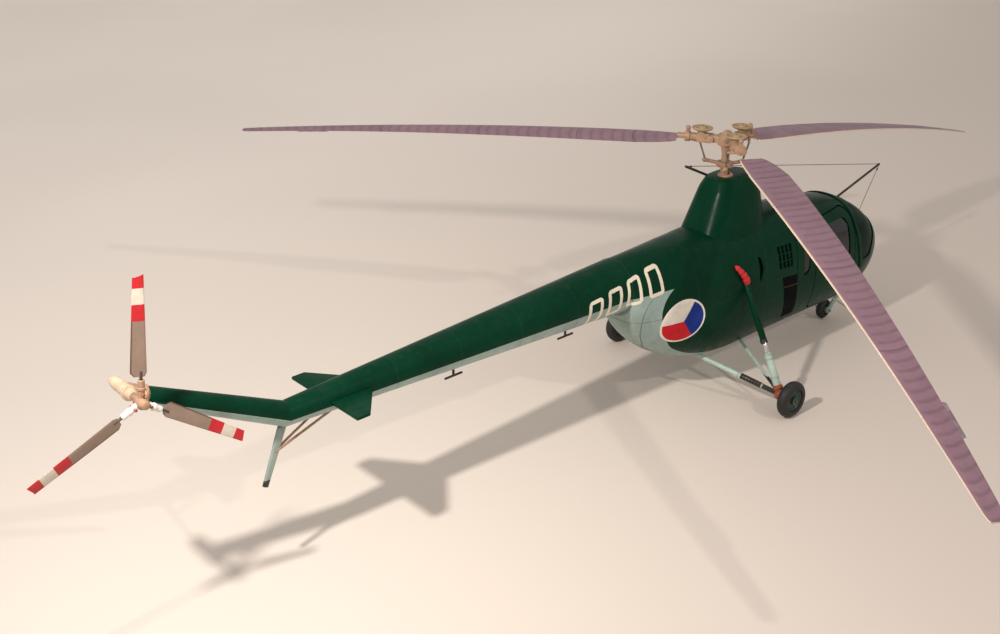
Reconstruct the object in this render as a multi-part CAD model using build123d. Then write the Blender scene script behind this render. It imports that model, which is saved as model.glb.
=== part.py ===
"""Scale model of a light single-rotor helicopter, built from its separate pieces, in millimetres.

+X is forward, +Y is port and +Z is up. The origin lies on the standing surface, under the middle of the rotor head.
"""

import os
from dataclasses import dataclass
from math import atan2, cos, degrees, hypot, pi, radians, sin, sqrt

from build123d import *

# ---------------------------------------------------------------- fuselage
NOSE_X = 97.0  # foremost point
NOSE_Z = 34.0  # height of the foremost point
NOSE_START_X = 62.0  # where the parallel cabin turns into the nose
FIREWALL_X = 22.0  # joint between the cabin and the engine bay
BELLY_START_X = -10.0  # where the belly starts to rise
BOOM_JOINT_X = -60.0  # joint between the engine bay and the tail boom
CABIN_HALF_WIDTH = 18.5
BELLY_Z = 13.5
ROOF_Z = 65.0  # roof at the engine bay
BROW_Z = 59.5  # roof at the start of the nose
WALL = 1.6  # cabin wall and doors
GLASS = 0.7  # window panes
GLASS_DEPTH = 0.4  # panes lie this deep below the skin
FIT = 0.05  # gap between glued pieces that seat in one another
RUN = 0.08  # radial running clearance of shafts
DOOR_GAP = 0.45  # gap round the doors

# ---------------------------------------------------------------- windows and doors
BROW_X = 67.0  # windscreen hoop at the roof
SILL_X = 71.0  # windscreen hoop at the sill
SILL_Z = 32.5  # lowest point of the windscreen
POST_WIDTH = 1.6  # post between the two windscreen panes
DOOR_FRONT_X = 64.5
DOOR_REAR_X = 37.0
DOOR_BOTTOM_Z = 19.0
DOOR_TOP_Z = 58.0
DOOR_FRAME = 3.6  # door frame round its window
DOOR_SILL_Z = 35.0  # lower edge of the door's window
DOOR_OPEN = 75  # degrees
QUARTER_REAR_X = 26.0  # rear edge of the quarter window
QUARTER_BOTTOM_Z = 38.0
QUARTER_TOP_Z = 56.0
PILLAR = 3.4  # pillar between door and quarter window
HINGE_R = 0.55

# ---------------------------------------------------------------- cabin inside
FLOOR_Z = 17.0
FLOOR = 1.4
PANEL_X = 76.0
SEAT_X = 56.0
BENCH_X = 31.0

# ---------------------------------------------------------------- gearbox fairing
FAIRING_FRONT_X = 26.0
FAIRING_REAR_X = -22.5
FAIRING_TOP_Z = 84.0
FAIRING_HALF_WIDTH = 12.0
FAIRING_TOP_FRONT_X = 11.5
FAIRING_TOP_REAR_X = -12.5
FAIRING_TOP_HALF_WIDTH = 6.8
FAIRING_EDGE = 2.2

# ---------------------------------------------------------------- tail
BOOM_Z = 54.9
BOOM_ROOT_R = 10.2
BOOM_WALL = 1.0
KINK_X = -199.5
KINK_R = 3.9
TAIL_END_X = -241.5
TAIL_END_Z = 76.5
TAIL_END_R = 2.9
STABILIZER_X = -185.5  # trailing edge
STABILIZER_CHORD = 14.5
STABILIZER_TIP_CHORD = 4.8
STABILIZER_SPAN = 36.6
STABILIZER_THICKNESS = 1.1

# ---------------------------------------------------------------- tail skid
SKID_TOP_X = -199.0
SKID_FOOT = (-208.6, 0.0, 33.0)
SKID_CHORD = 3.2
SKID_THICKNESS = 1.2
SKID_BRACE_X = -181.0
BRACE_R = 0.4

# ---------------------------------------------------------------- main landing gear
WHEEL_X = -9.9
WHEEL_Y = 45.4
WHEEL_R = 7.15
WHEEL_WIDTH = 4.4
RIM_R = 4.2
AXLE_R = 0.8
KNUCKLE_Y = 40.2
OLEO_TOP = (-8.6, 17.4, 47.0)
OLEO_R = 1.5
PISTON_R = 0.85
LEG_R = 1.35
REAR_STAY_ROOT = (-22.0, 5.0, 17.0)
FRONT_STAY_ROOT = (4.0, 8.0, 15.0)
STAY_R = 1.15

# ---------------------------------------------------------------- nose landing gear
NOSE_WHEEL_X = 71.5
NOSE_WHEEL_R = 4.3
NOSE_WHEEL_WIDTH = 3.2
NOSE_RIM_R = 2.4
NOSE_AXLE_R = 0.6
CASTER_X = 77.0
CASTER_Z = 9.6  # lower end of the fixed leg
CASTER_SWING = 45  # degrees each way
NOSE_LEG_R = 1.5
FORK_ARM = 0.9
TOW_PIN = 1.2  # length of axle that stands out beyond the fork for a tow bar

# ---------------------------------------------------------------- main rotor
HUB_Z = 96.8
MAST_TILT = 4.0  # degrees forward
ROTOR_R = 204.0
BLADE_AZIMUTHS = (122.0, 238.8, 365.6)  # degrees, port rear, starboard rear and forward
BLADE_DROOPS = (16.0, 38.0, 28.0)  # tip droop of each blade
BLADE_ROOT_R = 19.0
BLADE_WIDE_R = 52.0
BLADE_ROOT_CHORD = 8.6
BLADE_CHORD = 14.0
BLADE_TIP_CHORD = 6.6
BLADE_THICKNESS = 0.12  # share of chord
NOSE_SHARE = 0.26  # share of chord ahead of the blade's axis
MAST_R = 1.5
MAST_SEAT = 5.0  # length of mast inside the fairing
HUB_R = 3.3
HUB_H = 4.2
FLAP_R = 6.2  # radius of the flapping hinges
DRAG_R = 9.6  # radius of the drag hinges under the dampers
DAMPER_R = 3.5
DAMPER_Z = 2.4
GRIP_R = 1.5
HORN_R = 15.0  # radius of the pitch horn collars
SPAR_R = 1.1
SWASH_Z = -9.4  # below the hub's middle
SWASH_R = 3.2
LINK_R = 0.35

# ---------------------------------------------------------------- tail rotor
TAIL_HUB = (-246.9, -10.2, 80.5)
TAIL_ROTOR_R = 35.7
TAIL_AZIMUTH = 82.0  # of the first blade, degrees above forward
TAIL_ROOT_R = 7.4
TAIL_ROOT_CHORD = 4.9
TAIL_TIP_CHORD = 3.3
TAIL_PITCH = 14.0
TAIL_SHAFT_R = 0.8
GEARBOX_R = 3.3
GEARBOX_DOME_Y = 8.0

# ---------------------------------------------------------------- antennas
AERIAL_Y = 5.0
FRONT_MAST_ROOT_X = 79.0
FRONT_MAST_TIP = (112.9, AERIAL_Y, 60.2)
REAR_MAST_TIP = (-22.0, AERIAL_Y, 88.0)
AERIAL_R = 0.5
TEE_XS = (-84.0, -134.9)
TEE_DROP = 3.4
TEE_SPAN = 7.2


SIDES = ((-1, "right"), (1, "left"))  # the sign of Y and the name of each side


def group(solids):
    """Several separate solids as one shape."""
    return Compound(children=list(solids))


def at(*point):
    """A vector from three numbers."""
    return Vector(*point)


def rod(start, end, radius, end_radius=None):
    """A straight round rod or cone between two points."""
    start, end = Vector(*start), Vector(*end)
    run = end - start
    plane = Plane(origin=start, z_dir=run)
    align = (Align.CENTER, Align.CENTER, Align.MIN)
    if end_radius is None:
        return plane * Cylinder(radius, run.length, align=align)
    return plane * Cone(radius, end_radius, run.length, align=align)


def cylinder_y(x, y, z, radius, width):
    """A cylinder along Y, centred on a point."""
    return Location((x, y, z), (90, 0, 0)) * Cylinder(radius, width)


def side_prism(outline, low_y, high_y):
    """A prism of an outline drawn in the XZ plane, between two heights in Y."""
    face = make_face(Plane.XZ * outline)
    return extrude(Location((0, high_y, 0)) * face, amount=high_y - low_y, dir=(0, -1, 0))


def rounded_side_box(low_x, high_x, low_z, high_z, radius, low_y, high_y):
    """A rounded rectangle seen from the side, as a prism along Y."""
    sketch = Plane.XZ * RectangleRounded(high_x - low_x, high_z - low_z, radius)
    middle = ((low_x + high_x) / 2, high_y, (low_z + high_z) / 2)
    return extrude(Location(middle) * sketch, amount=high_y - low_y, dir=(0, -1, 0))


# ================================================================ fuselage
@dataclass
class Station:
    """One cross-section of the fuselage: its place, lowest and highest point, half width and squareness."""

    x: float
    low: float
    high: float
    half_width: float
    power: float


def nose_station(share):
    """A section of the rounded nose; share runs from 0 at the cabin to 1 at the tip."""
    x = NOSE_START_X + share * (NOSE_X - NOSE_START_X)
    high = NOSE_Z + (BROW_Z - NOSE_Z) * (1 - share**1.6) ** 0.75
    low = NOSE_Z - (NOSE_Z - BELLY_Z) * (1 - share**2.3) ** 0.6
    half_width = 0.97 * CABIN_HALF_WIDTH * (1 - share**2.1) ** 0.55
    return Station(x, low, high, half_width, 2.5 - 0.4 * share)


def belly_station(share):
    """A section of the rising belly; share runs from 0 at its start to 1 at the tail boom."""
    x = BELLY_START_X + share * (BOOM_JOINT_X - BELLY_START_X)
    boom_low = BOOM_Z - BOOM_ROOT_R
    low = boom_low - (boom_low - BELLY_Z) * (1 - share**1.9) ** 0.62
    high = ROOF_Z + share * (BOOM_Z + BOOM_ROOT_R - ROOF_Z)
    half_width = BOOM_ROOT_R + (0.98 * CABIN_HALF_WIDTH - BOOM_ROOT_R) * (1 - share**1.7)
    return Station(x, low, high, half_width, 2.5 - 0.5 * share)


def fuselage_stations():
    """All sections of the fuselage from nose to tail boom."""
    nose = [nose_station(share) for share in (0.995, 0.96, 0.88, 0.75, 0.57, 0.36, 0.15)]
    cabin_length = NOSE_START_X - FIREWALL_X
    cabin = [
        Station(FIREWALL_X + 0.75 * cabin_length, BELLY_Z, BROW_Z + 0.35 * (ROOF_Z - BROW_Z), CABIN_HALF_WIDTH, 2.5),
        Station(FIREWALL_X + 0.3 * cabin_length, BELLY_Z, BROW_Z + 0.75 * (ROOF_Z - BROW_Z), CABIN_HALF_WIDTH, 2.5),
        Station((FIREWALL_X + BELLY_START_X) / 2, BELLY_Z, ROOF_Z, CABIN_HALF_WIDTH, 2.5),
    ]
    belly = [belly_station(share) for share in (0.0, 0.25, 0.48, 0.68, 0.84, 0.94, 1.0)]
    return nose + cabin + belly


def section_face(station, inset):
    """The face of one fuselage section, drawn in by an inset."""
    wide = station.half_width - inset
    tall = (station.high - station.low) / 2 - inset
    middle = (station.high + station.low) / 2
    points = []
    for step in range(16):
        angle = 2 * pi * step / 16 - pi / 2
        c, s = cos(angle), sin(angle)
        y = wide * abs(c) ** (2 / station.power) * (1 if c >= 0 else -1)
        z = tall * abs(s) ** (2 / station.power) * (1 if s >= 0 else -1)
        points.append(Vector(station.x, y, middle + z))
    return make_face(Spline(points, periodic=True))


def fuselage_body(inset=0.0):
    """The whole fuselage form, or the same form drawn in by an inset."""
    stations = fuselage_stations()
    if inset:
        stations = [s for s in stations if s.x < NOSE_X - 3.5 - inset]
    return Solid(loft([section_face(s, inset) for s in stations]).wrapped)


def half_width_at(x, z):
    """Half width of the fuselage skin at a place, from the straight blend of the two nearest sections."""
    stations = sorted(fuselage_stations(), key=lambda s: s.x)
    for rear, front in zip(stations, stations[1:]):
        if rear.x <= x <= front.x:
            share = (x - rear.x) / (front.x - rear.x)
            break
    low, high, wide, power = (
        a + share * (b - a)
        for a, b in (
            (rear.low, front.low),
            (rear.high, front.high),
            (rear.half_width, front.half_width),
            (rear.power, front.power),
        )
    )
    up = abs(2 * (z - low) / (high - low) - 1)
    return wide * (1 - up**power) ** (1 / power)


def slab(low_x, high_x):
    """A slab that takes a stretch of the fuselage."""
    return Location(((low_x + high_x) / 2, 0, ROOF_Z / 2)) * Box(high_x - low_x, 4 * CABIN_HALF_WIDTH, 3 * ROOF_Z)


def windscreen_prism(clearance):
    """The windscreen's side outline as a prism through the nose, drawn in by a clearance."""
    top = ROOF_Z + 5
    front = NOSE_X + 5
    lip = NOSE_Z + 12.5
    outline = Polyline(
        (BROW_X + clearance, top),
        (front, top),
        (front, lip + clearance),
        (NOSE_X - 8.5, lip + clearance),
        (NOSE_X - 18.5, SILL_Z + clearance),
        (SILL_X + clearance, SILL_Z + clearance),
        (BROW_X + clearance, BROW_Z - 9),
        close=True,
    )
    prism = side_prism(outline, -2 * CABIN_HALF_WIDTH, 2 * CABIN_HALF_WIDTH)
    edges = prism.edges().filter_by(Axis.Y).sort_by(Axis.Z)[:2]
    prism = fillet(edges, 2.4)
    post = Location((NOSE_X - 20, 0, ROOF_Z)) * Box(80, POST_WIDTH + 2 * clearance, 80)
    return prism - post


def door_prism(side, clearance):
    """A door's outline as a prism on one side; side is -1 for starboard and 1 for port."""
    low_y, high_y = sorted((0, side * 2 * CABIN_HALF_WIDTH))
    return rounded_side_box(
        DOOR_REAR_X + clearance,
        DOOR_FRONT_X - clearance,
        DOOR_BOTTOM_Z + clearance,
        DOOR_TOP_Z - clearance,
        4.5,
        low_y,
        high_y,
    )


def door_window_prism(side, clearance):
    """The window in a door, as a prism on one side."""
    low_y, high_y = sorted((0, side * 2 * CABIN_HALF_WIDTH))
    return rounded_side_box(
        DOOR_REAR_X + DOOR_FRAME + clearance,
        DOOR_FRONT_X - DOOR_FRAME - clearance,
        DOOR_SILL_Z + clearance,
        DOOR_TOP_Z - DOOR_FRAME - clearance,
        4.0,
        low_y,
        high_y,
    )


def quarter_window_prism(side, clearance):
    """The window behind a door, as a prism on one side."""
    low_y, high_y = sorted((0, side * 2 * CABIN_HALF_WIDTH))
    return rounded_side_box(
        QUARTER_REAR_X + clearance,
        DOOR_REAR_X - PILLAR - clearance,
        QUARTER_BOTTOM_Z + clearance,
        QUARTER_TOP_Z - clearance,
        2.6,
        low_y,
        high_y,
    )


def build_fuselage(parts):
    """Cabin, engine bay, doors and panes, all cut from one form."""
    outer = fuselage_body()
    inner = fuselage_body(WALL)
    cabin_front = slab(FIREWALL_X, NOSE_X + 1)
    cabin = outer & cabin_front
    hollow = inner & cabin_front
    wall = cabin - hollow
    pane_layer = fuselage_body(GLASS_DEPTH) - fuselage_body(GLASS_DEPTH + GLASS)
    shell = wall - windscreen_prism(0.0)
    quarters = []
    for side, name in SIDES:
        shell -= door_prism(side, 0.0)
        shell -= quarter_window_prism(side, 0.0)
        quarters.append(pane_layer & quarter_window_prism(side, FIT))
        door = (wall & door_prism(side, DOOR_GAP)) - door_window_prism(side, 0.0)
        parts[f"door_{name}"] = door
        parts[f"door_window_{name}"] = pane_layer & door_window_prism(side, FIT)
    parts["quarter_windows"] = group(quarters)
    screen = pane_layer & cabin_front & windscreen_prism(FIT)
    parts["windscreen"] = group(screen.solids())
    parts["cabin_shell"] = shell
    bay = outer & slab(BOOM_JOINT_X - 1, FIREWALL_X)
    parts["engine_bay"] = bay - (inner & slab(BOOM_JOINT_X + WALL, FIREWALL_X - WALL))
    return outer, hollow


def build_cabin_inside(parts, hollow):
    """Floor, seats, instrument panel and controls."""
    floor_box = Location(((FIREWALL_X + PANEL_X) / 2, 0, FLOOR_Z + FLOOR / 2)) * Box(
        PANEL_X - FIREWALL_X, 4 * CABIN_HALF_WIDTH, FLOOR
    )
    room = hollow
    parts["cabin_floor"] = floor_box & room
    seat_z = FLOOR_Z + FLOOR
    seat_box = Box(11, 11.5, 7, align=(Align.CENTER, Align.CENTER, Align.MIN))
    back_box = Box(3, 11.5, 19, align=(Align.CENTER, Align.CENTER, Align.MIN))
    seat = Location((SEAT_X, 0, seat_z)) * seat_box
    seat += Location((SEAT_X - 5.8, 0, seat_z), (0, -8, 0)) * back_box
    parts["pilot_seat"] = longest(seat - floor_box)
    bench = Location((BENCH_X, 0, seat_z)) * Box(12, 28, 8, align=(Align.CENTER, Align.CENTER, Align.MIN))
    bench += Location((BENCH_X - 7, 0, seat_z)) * Box(3, 28, 24, align=(Align.CENTER, Align.CENTER, Align.MIN))
    parts["rear_bench"] = longest(bench & room)
    panel = Location((PANEL_X - 0.9, 0, seat_z)) * Box(1.8, 8, 12, align=(Align.CENTER, Align.CENTER, Align.MIN))
    panel += Location((PANEL_X - 0.9, 0, seat_z + 11)) * Box(1.8, 17, 9, align=(Align.CENTER, Align.CENTER, Align.MIN))
    parts["instrument_panel"] = (panel & room) - floor_box
    stick = rod((SEAT_X + 9, 0, seat_z), (SEAT_X + 7.5, 0, seat_z + 11), 0.5)
    stick += rod((SEAT_X + 7.5, 0, seat_z + 10.6), (SEAT_X + 7.0, 0, seat_z + 14), 0.9)
    parts["control_stick"] = stick - floor_box


def build_fairing(parts, outer):
    """The rounded housing of the main gearbox, seated on the roof, with the bore of the rotor mast."""

    def ring(front, rear, half_width, z):
        return Location(((front + rear) / 2, 0, z)) * Ellipse((front - rear) / 2, half_width)

    spread = 1.35
    base_z = ROOF_Z - 9
    low_front = FAIRING_TOP_FRONT_X + spread * (FAIRING_FRONT_X - FAIRING_TOP_FRONT_X)
    low_rear = FAIRING_TOP_REAR_X + spread * (FAIRING_REAR_X - FAIRING_TOP_REAR_X)
    low_half = FAIRING_TOP_HALF_WIDTH + spread * (FAIRING_HALF_WIDTH - FAIRING_TOP_HALF_WIDTH)
    form = loft(
        [
            ring(low_front, low_rear, low_half, base_z),
            ring(FAIRING_TOP_FRONT_X, FAIRING_TOP_REAR_X, FAIRING_TOP_HALF_WIDTH, FAIRING_TOP_Z),
        ],
        ruled=True,
    )
    form = fillet(form.edges().sort_by(Axis.Z)[-1], FAIRING_EDGE)
    bore = in_rotor(rod((0, 0, -40), (0, 0, 0), MAST_R + RUN))
    fairing = form - outer
    fairing = fairing - (bore & Location((0, 0, FAIRING_TOP_Z)) * Box(30, 30, 2 * MAST_SEAT + 1))
    parts["gearbox_fairing"] = max(fairing.solids(), key=lambda s: s.volume)


# ================================================================ tail
def tail_direction():
    """Unit vector along the raised end of the tail boom."""
    return (at(TAIL_END_X, 0, TAIL_END_Z) - at(KINK_X, 0, BOOM_Z)).normalized()


def boom_radius_at(x):
    """Radius of the tail boom at a place along it."""
    share = (x - BOOM_JOINT_X) / (KINK_X - BOOM_JOINT_X)
    return BOOM_ROOT_R + share * (KINK_R - BOOM_ROOT_R)


def build_tail(parts):
    """Hollow tail boom, raised end, stabilisers, skid and gearbox."""
    start, kink = (BOOM_JOINT_X, 0, BOOM_Z), (KINK_X, 0, BOOM_Z)
    end = (TAIL_END_X, 0, TAIL_END_Z)
    mitre = Plane(origin=kink, z_dir=(at(-1, 0, 0) + tail_direction()).normalized())
    far_kink = (KINK_X - 4, 0, BOOM_Z)
    boom = rod(start, far_kink, BOOM_ROOT_R, boom_radius_at(KINK_X - 4))
    boom -= rod((BOOM_JOINT_X + 1, 0, BOOM_Z), (KINK_X + 8, 0, BOOM_Z), BOOM_ROOT_R - BOOM_WALL, boom_radius_at(KINK_X + 8) - BOOM_WALL)
    beyond = mitre * Box(60, 60, 60, align=(Align.CENTER, Align.CENTER, Align.MIN))
    boom = boom - beyond
    back = at(*kink) - tail_direction() * 4
    raised = rod(back, end, KINK_R + 0.08, TAIL_END_R)
    raised = raised & beyond
    parts["tail_boom"] = boom
    build_stabilizers(parts, boom)
    build_skid(parts, boom)
    build_gearbox(parts, raised)


def build_stabilizers(parts, boom):
    """Two swept tailplanes, seated against the boom."""
    half = STABILIZER_SPAN / 2
    plates = []
    for side, _ in SIDES:
        outline = Polyline(
            (STABILIZER_X, 0),
            (STABILIZER_X + STABILIZER_CHORD, 0),
            (STABILIZER_X + STABILIZER_CHORD, side * (boom_radius_at(STABILIZER_X) + 1.2)),
            (STABILIZER_X + STABILIZER_TIP_CHORD, side * half),
            (STABILIZER_X, side * half),
            close=True,
        )
        plate = extrude(make_face(outline), amount=STABILIZER_THICKNESS / 2, both=True)
        rim = [e for e in plate.edges() if abs(e.center().Y) > 6]
        plate = fillet(rim, STABILIZER_THICKNESS * 0.3)
        plate = Location((0, 0, BOOM_Z)) * plate
        core = rod((BOOM_JOINT_X, 0, BOOM_Z), (KINK_X, 0, BOOM_Z), BOOM_ROOT_R - BOOM_WALL, KINK_R - BOOM_WALL)
        plate = (plate - boom) - core
        plates.append(longest(plate))
    parts["stabilizers"] = group(plates)


def build_skid(parts, boom):
    """The long tail skid and the two thin rods that brace it."""
    top = at(SKID_TOP_X, 0, BOOM_Z)
    foot = at(*SKID_FOOT)
    run = foot - top
    plane = Plane(origin=top, x_dir=(0, 1, 0), z_dir=run)
    root = plane * SlotOverall(SKID_CHORD, SKID_THICKNESS, rotation=90)
    tip = plane.offset(run.length) * SlotOverall(SKID_CHORD * 0.62, SKID_THICKNESS, rotation=90)
    skid = loft([root, tip]) - rod((KINK_X + 30, 0, BOOM_Z), (KINK_X - 4, 0, BOOM_Z), boom_radius_at(KINK_X + 30), boom_radius_at(KINK_X - 4))
    skid = max((skid - parts_beyond_kink()).solids(), key=lambda s: s.volume)
    parts["tail_skid"] = skid
    low = top + run * 0.52
    braces = Part()
    for side in (-1, 1):
        root_y = side * boom_radius_at(SKID_BRACE_X) * 0.6
        brace = rod(low + at(0, side * 0.3, 0), (SKID_BRACE_X, root_y, BOOM_Z - 2), BRACE_R)
        brace = brace - boom - skid
        brace = sorted(brace.solids(), key=lambda s: -s.volume)[0]
        braces += brace
    parts["skid_braces"] = braces


def parts_beyond_kink():
    """The raised end as a plain form, for cutting what seats against it."""
    end = (TAIL_END_X, 0, TAIL_END_Z)
    back = at(KINK_X, 0, BOOM_Z) - tail_direction() * 4
    return rod(back, end, KINK_R + 0.08, TAIL_END_R)


def build_gearbox(parts, raised):
    """The tail gearbox across the boom's end, with its domed port side and the shaft bore."""
    x, y, z = TAIL_HUB
    face_y = y + 4.0
    box = rod((x, face_y, z), (x, face_y + 2.5, z), GEARBOX_R * 0.75, GEARBOX_R)
    box += rod((x, face_y + 2.5, z), (x, 2.0, z), GEARBOX_R)
    box += rod((x, 2.0, z), (x, GEARBOX_DOME_Y - 1.6, z), GEARBOX_R, GEARBOX_R * 0.78)
    box += Location((x, GEARBOX_DOME_Y - GEARBOX_R * 0.8, z)) * Sphere(GEARBOX_R * 0.8)
    neck_start = at(TAIL_END_X, 0, TAIL_END_Z) - tail_direction() * 2.0
    box += rod(neck_start, (x, 0, z), TAIL_END_R + 0.5, GEARBOX_R * 0.8)
    box -= cylinder_y(x, face_y, z, TAIL_SHAFT_R + RUN, 5.0)
    parts["tail_gearbox"] = box
    parts["tail_boom_end"] = max((raised - box).solids(), key=lambda s: s.volume)


# ================================================================ landing gear
def build_main_gear(parts, outer):
    """Shock strut, two stays, knuckle and wheel on each side."""
    axles, legs, barrels, rear_stays, front_stays = [], [], [], [], []
    for side, name in SIDES:
        knuckle = at(WHEEL_X, side * KNUCKLE_Y, WHEEL_R)
        top = at(OLEO_TOP[0], side * OLEO_TOP[1], OLEO_TOP[2])
        run = top - knuckle
        knee = knuckle + run * 0.42
        bare = knuckle + run * 0.54
        rear_root = at(REAR_STAY_ROOT[0], side * REAR_STAY_ROOT[1], REAR_STAY_ROOT[2])
        front_root = at(FRONT_STAY_ROOT[0], side * FRONT_STAY_ROOT[1], FRONT_STAY_ROOT[2])
        inner_face = WHEEL_Y - WHEEL_WIDTH / 2
        block = Location((WHEEL_X, side * KNUCKLE_Y, WHEEL_R)) * Sphere(2.3)
        block &= Location((WHEEL_X, side * KNUCKLE_Y, WHEEL_R)) * Box(6, 3.6, 6)
        axle_end = side * (WHEEL_Y + WHEEL_WIDTH / 2 - 0.6)
        axle = block + rod(knuckle, (WHEEL_X, axle_end, WHEEL_R), AXLE_R)
        collar = rod(knuckle, (WHEEL_X, side * (inner_face - 0.3), WHEEL_R), 1.5)
        axles.append(axle + collar)
        leg = longest(rod(knuckle, knee, LEG_R) - block - collar)
        barrels.append(longest(rod(bare, top + run.normalized() * 3, OLEO_R) - outer))
        legs.append(leg + rod(knee, bare, PISTON_R))
        rear_stay = longest(rod(knuckle, rear_root, STAY_R) - block - collar - outer - leg)
        front = rod(knuckle, front_root, STAY_R * 0.85) - block - collar - outer - leg
        rear_stays.append(rear_stay)
        front_stays.append(longest(longest(front) - rear_stay))
        centre = (WHEEL_X, side * WHEEL_Y, WHEEL_R)
        build_wheel(parts, f"main_wheel_{name}", centre, WHEEL_R, WHEEL_WIDTH, RIM_R, AXLE_R)
    parts["main_axles"] = group(axles)
    parts["oleo_legs"] = group(legs)
    parts["oleo_barrels"] = group(barrels)
    parts["rear_gear_stays"] = group(rear_stays)
    parts["front_gear_stays"] = group(front_stays)


def longest(shape):
    """The largest solid of a shape."""
    return max(shape.solids(), key=lambda s: s.volume)


def build_wheel(parts, name, centre, radius, width, rim_r, axle_r):
    """A tyre with round shoulders on a dished hub that turns on its axle."""
    half = width / 2
    shoulder = half * 0.95
    tyre_profile = make_face(
        Polyline((-half * 0.62, rim_r), (-half, radius - shoulder))
        + RadiusArc((-half, radius - shoulder), (0, radius), half * 1.05)
        + RadiusArc((0, radius), (half, radius - shoulder), half * 1.05)
        + Polyline((half, radius - shoulder), (half * 0.62, rim_r), (-half * 0.62, rim_r))
    )
    hub_profile = make_face(
        Polyline(
            (-half * 0.9, axle_r + RUN),
            (-half * 0.9, axle_r + 0.9),
            (-half * 0.35, axle_r + 1.0),
            (-half * 0.45, rim_r - 0.5),
            (-half * 0.6, rim_r),
            (half * 0.6, rim_r),
            (half * 0.45, rim_r - 0.5),
            (half * 0.35, axle_r + 1.0),
            (half * 0.9, axle_r + 0.9),
            (half * 0.9, axle_r + RUN),
            close=True,
        )
    )
    turned = Location(centre, (0, 0, 90))
    parts[f"{name}_tyre"] = turned * revolve(tyre_profile, Axis.X)
    parts[f"{name}_hub"] = turned * revolve(hub_profile, Axis.X)


def build_nose_gear(parts, outer):
    """Fixed leg, castering fork with its axle, and the wheel."""
    pin_r = 0.6
    leg = rod((CASTER_X, 0, CASTER_Z), (CASTER_X, 0, BELLY_Z + 12), NOSE_LEG_R) - outer
    leg = longest(leg)
    leg -= rod((CASTER_X, 0, CASTER_Z - 1), (CASTER_X, 0, CASTER_Z + 3), pin_r + RUN)
    parts["nose_leg"] = leg
    wheel = at(NOSE_WHEEL_X, 0, NOSE_WHEEL_R)
    arm_y = NOSE_WHEEL_WIDTH / 2 + 0.35 + FORK_ARM / 2
    crown_z = CASTER_Z - 0.25
    crown = Location((CASTER_X, 0, crown_z)) * Cylinder(NOSE_LEG_R + 0.2, 1.2, align=(Align.CENTER, Align.CENTER, Align.MAX))
    crown += Location((CASTER_X - 0.1, 0, crown_z - 0.6)) * Box(2.6, 2 * arm_y + FORK_ARM, 1.2)
    fork = crown + rod((CASTER_X, 0, crown_z - 0.5), (CASTER_X, 0, CASTER_Z + 2.6), pin_r)
    for side in (-1, 1):
        outline = Polyline(
            (CASTER_X - 1.4, crown_z),
            (CASTER_X + 1.2, crown_z),
            (NOSE_WHEEL_X + 1.2, NOSE_WHEEL_R - 0.6),
            (NOSE_WHEEL_X - 1.1, NOSE_WHEEL_R + 0.7),
            close=True,
        )
        low = side * arm_y - FORK_ARM / 2
        arm = side_prism(outline, low, low + FORK_ARM)
        eye = cylinder_y(NOSE_WHEEL_X, side * arm_y, NOSE_WHEEL_R, 1.35, FORK_ARM)
        fork += arm + eye
    pin_length = 2 * (arm_y + FORK_ARM / 2 + TOW_PIN)
    fork += cylinder_y(NOSE_WHEEL_X, 0, NOSE_WHEEL_R, NOSE_AXLE_R, pin_length)
    parts["nose_fork"] = fork
    build_wheel(parts, "nose_wheel", tuple(wheel), NOSE_WHEEL_R, NOSE_WHEEL_WIDTH, NOSE_RIM_R, NOSE_AXLE_R)


# ================================================================ main rotor
def in_rotor(shape):
    """Moves a shape from the rotor's own frame, with its origin at the hub's middle, into place."""
    return Location((0, 0, HUB_Z), (0, MAST_TILT, 0)) * shape


def on_arm(shape, azimuth):
    """Turns a shape drawn along +X to a blade's azimuth."""
    return Location((0, 0, 0), (0, 0, azimuth)) * shape


def blade_chord(r):
    """Chord of the main blade at a radius."""
    if r < BLADE_WIDE_R:
        share = (r - BLADE_ROOT_R) / (BLADE_WIDE_R - BLADE_ROOT_R)
        return BLADE_ROOT_CHORD + (BLADE_CHORD - BLADE_ROOT_CHORD) * sin(share * pi / 2)
    share = (r - BLADE_WIDE_R) / (ROTOR_R - BLADE_WIDE_R)
    return BLADE_CHORD + (BLADE_TIP_CHORD - BLADE_CHORD) * share


def aerofoil(chord, thickness, nose_share):
    """A flat-bottomed aerofoil drawn with its nose to -Y and its thickness along Z, in the YZ plane."""
    nose = -chord * nose_share
    tail = nose + chord
    tail_half = 0.18
    top = Spline((0, nose, 0), (0, nose + 0.28 * chord, thickness * 0.62), (0, tail, tail_half), tangents=[(0, 0, 1), (0, 1, -0.14)])
    bottom = Spline((0, nose, 0), (0, nose + 0.3 * chord, -thickness * 0.38), (0, tail, -tail_half), tangents=[(0, 0, -1), (0, 1, 0.07)])
    close = Line((0, tail, tail_half), (0, tail, -tail_half))
    return make_face(top + bottom + close)


def build_blade(droop):
    """One main blade along +X, drooping to its tip."""
    sections = []
    for r in (BLADE_ROOT_R, 26.0, 36.0, BLADE_WIDE_R, 90.0, 135.0, 175.0, ROTOR_R - 3, ROTOR_R - 0.6):
        share = (r - BLADE_ROOT_R) / (ROTOR_R - BLADE_ROOT_R)
        chord = blade_chord(r)
        if r > ROTOR_R - 1:
            chord *= 0.72
        thickness = max(BLADE_THICKNESS * chord, 0.9)
        slope = degrees(atan2(2 * droop * share, ROTOR_R - BLADE_ROOT_R))
        place = Location((r, 0, -droop * share**2), (0, slope, 0))
        sections.append(place * aerofoil(chord, thickness, NOSE_SHARE))
    return loft(sections)


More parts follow.
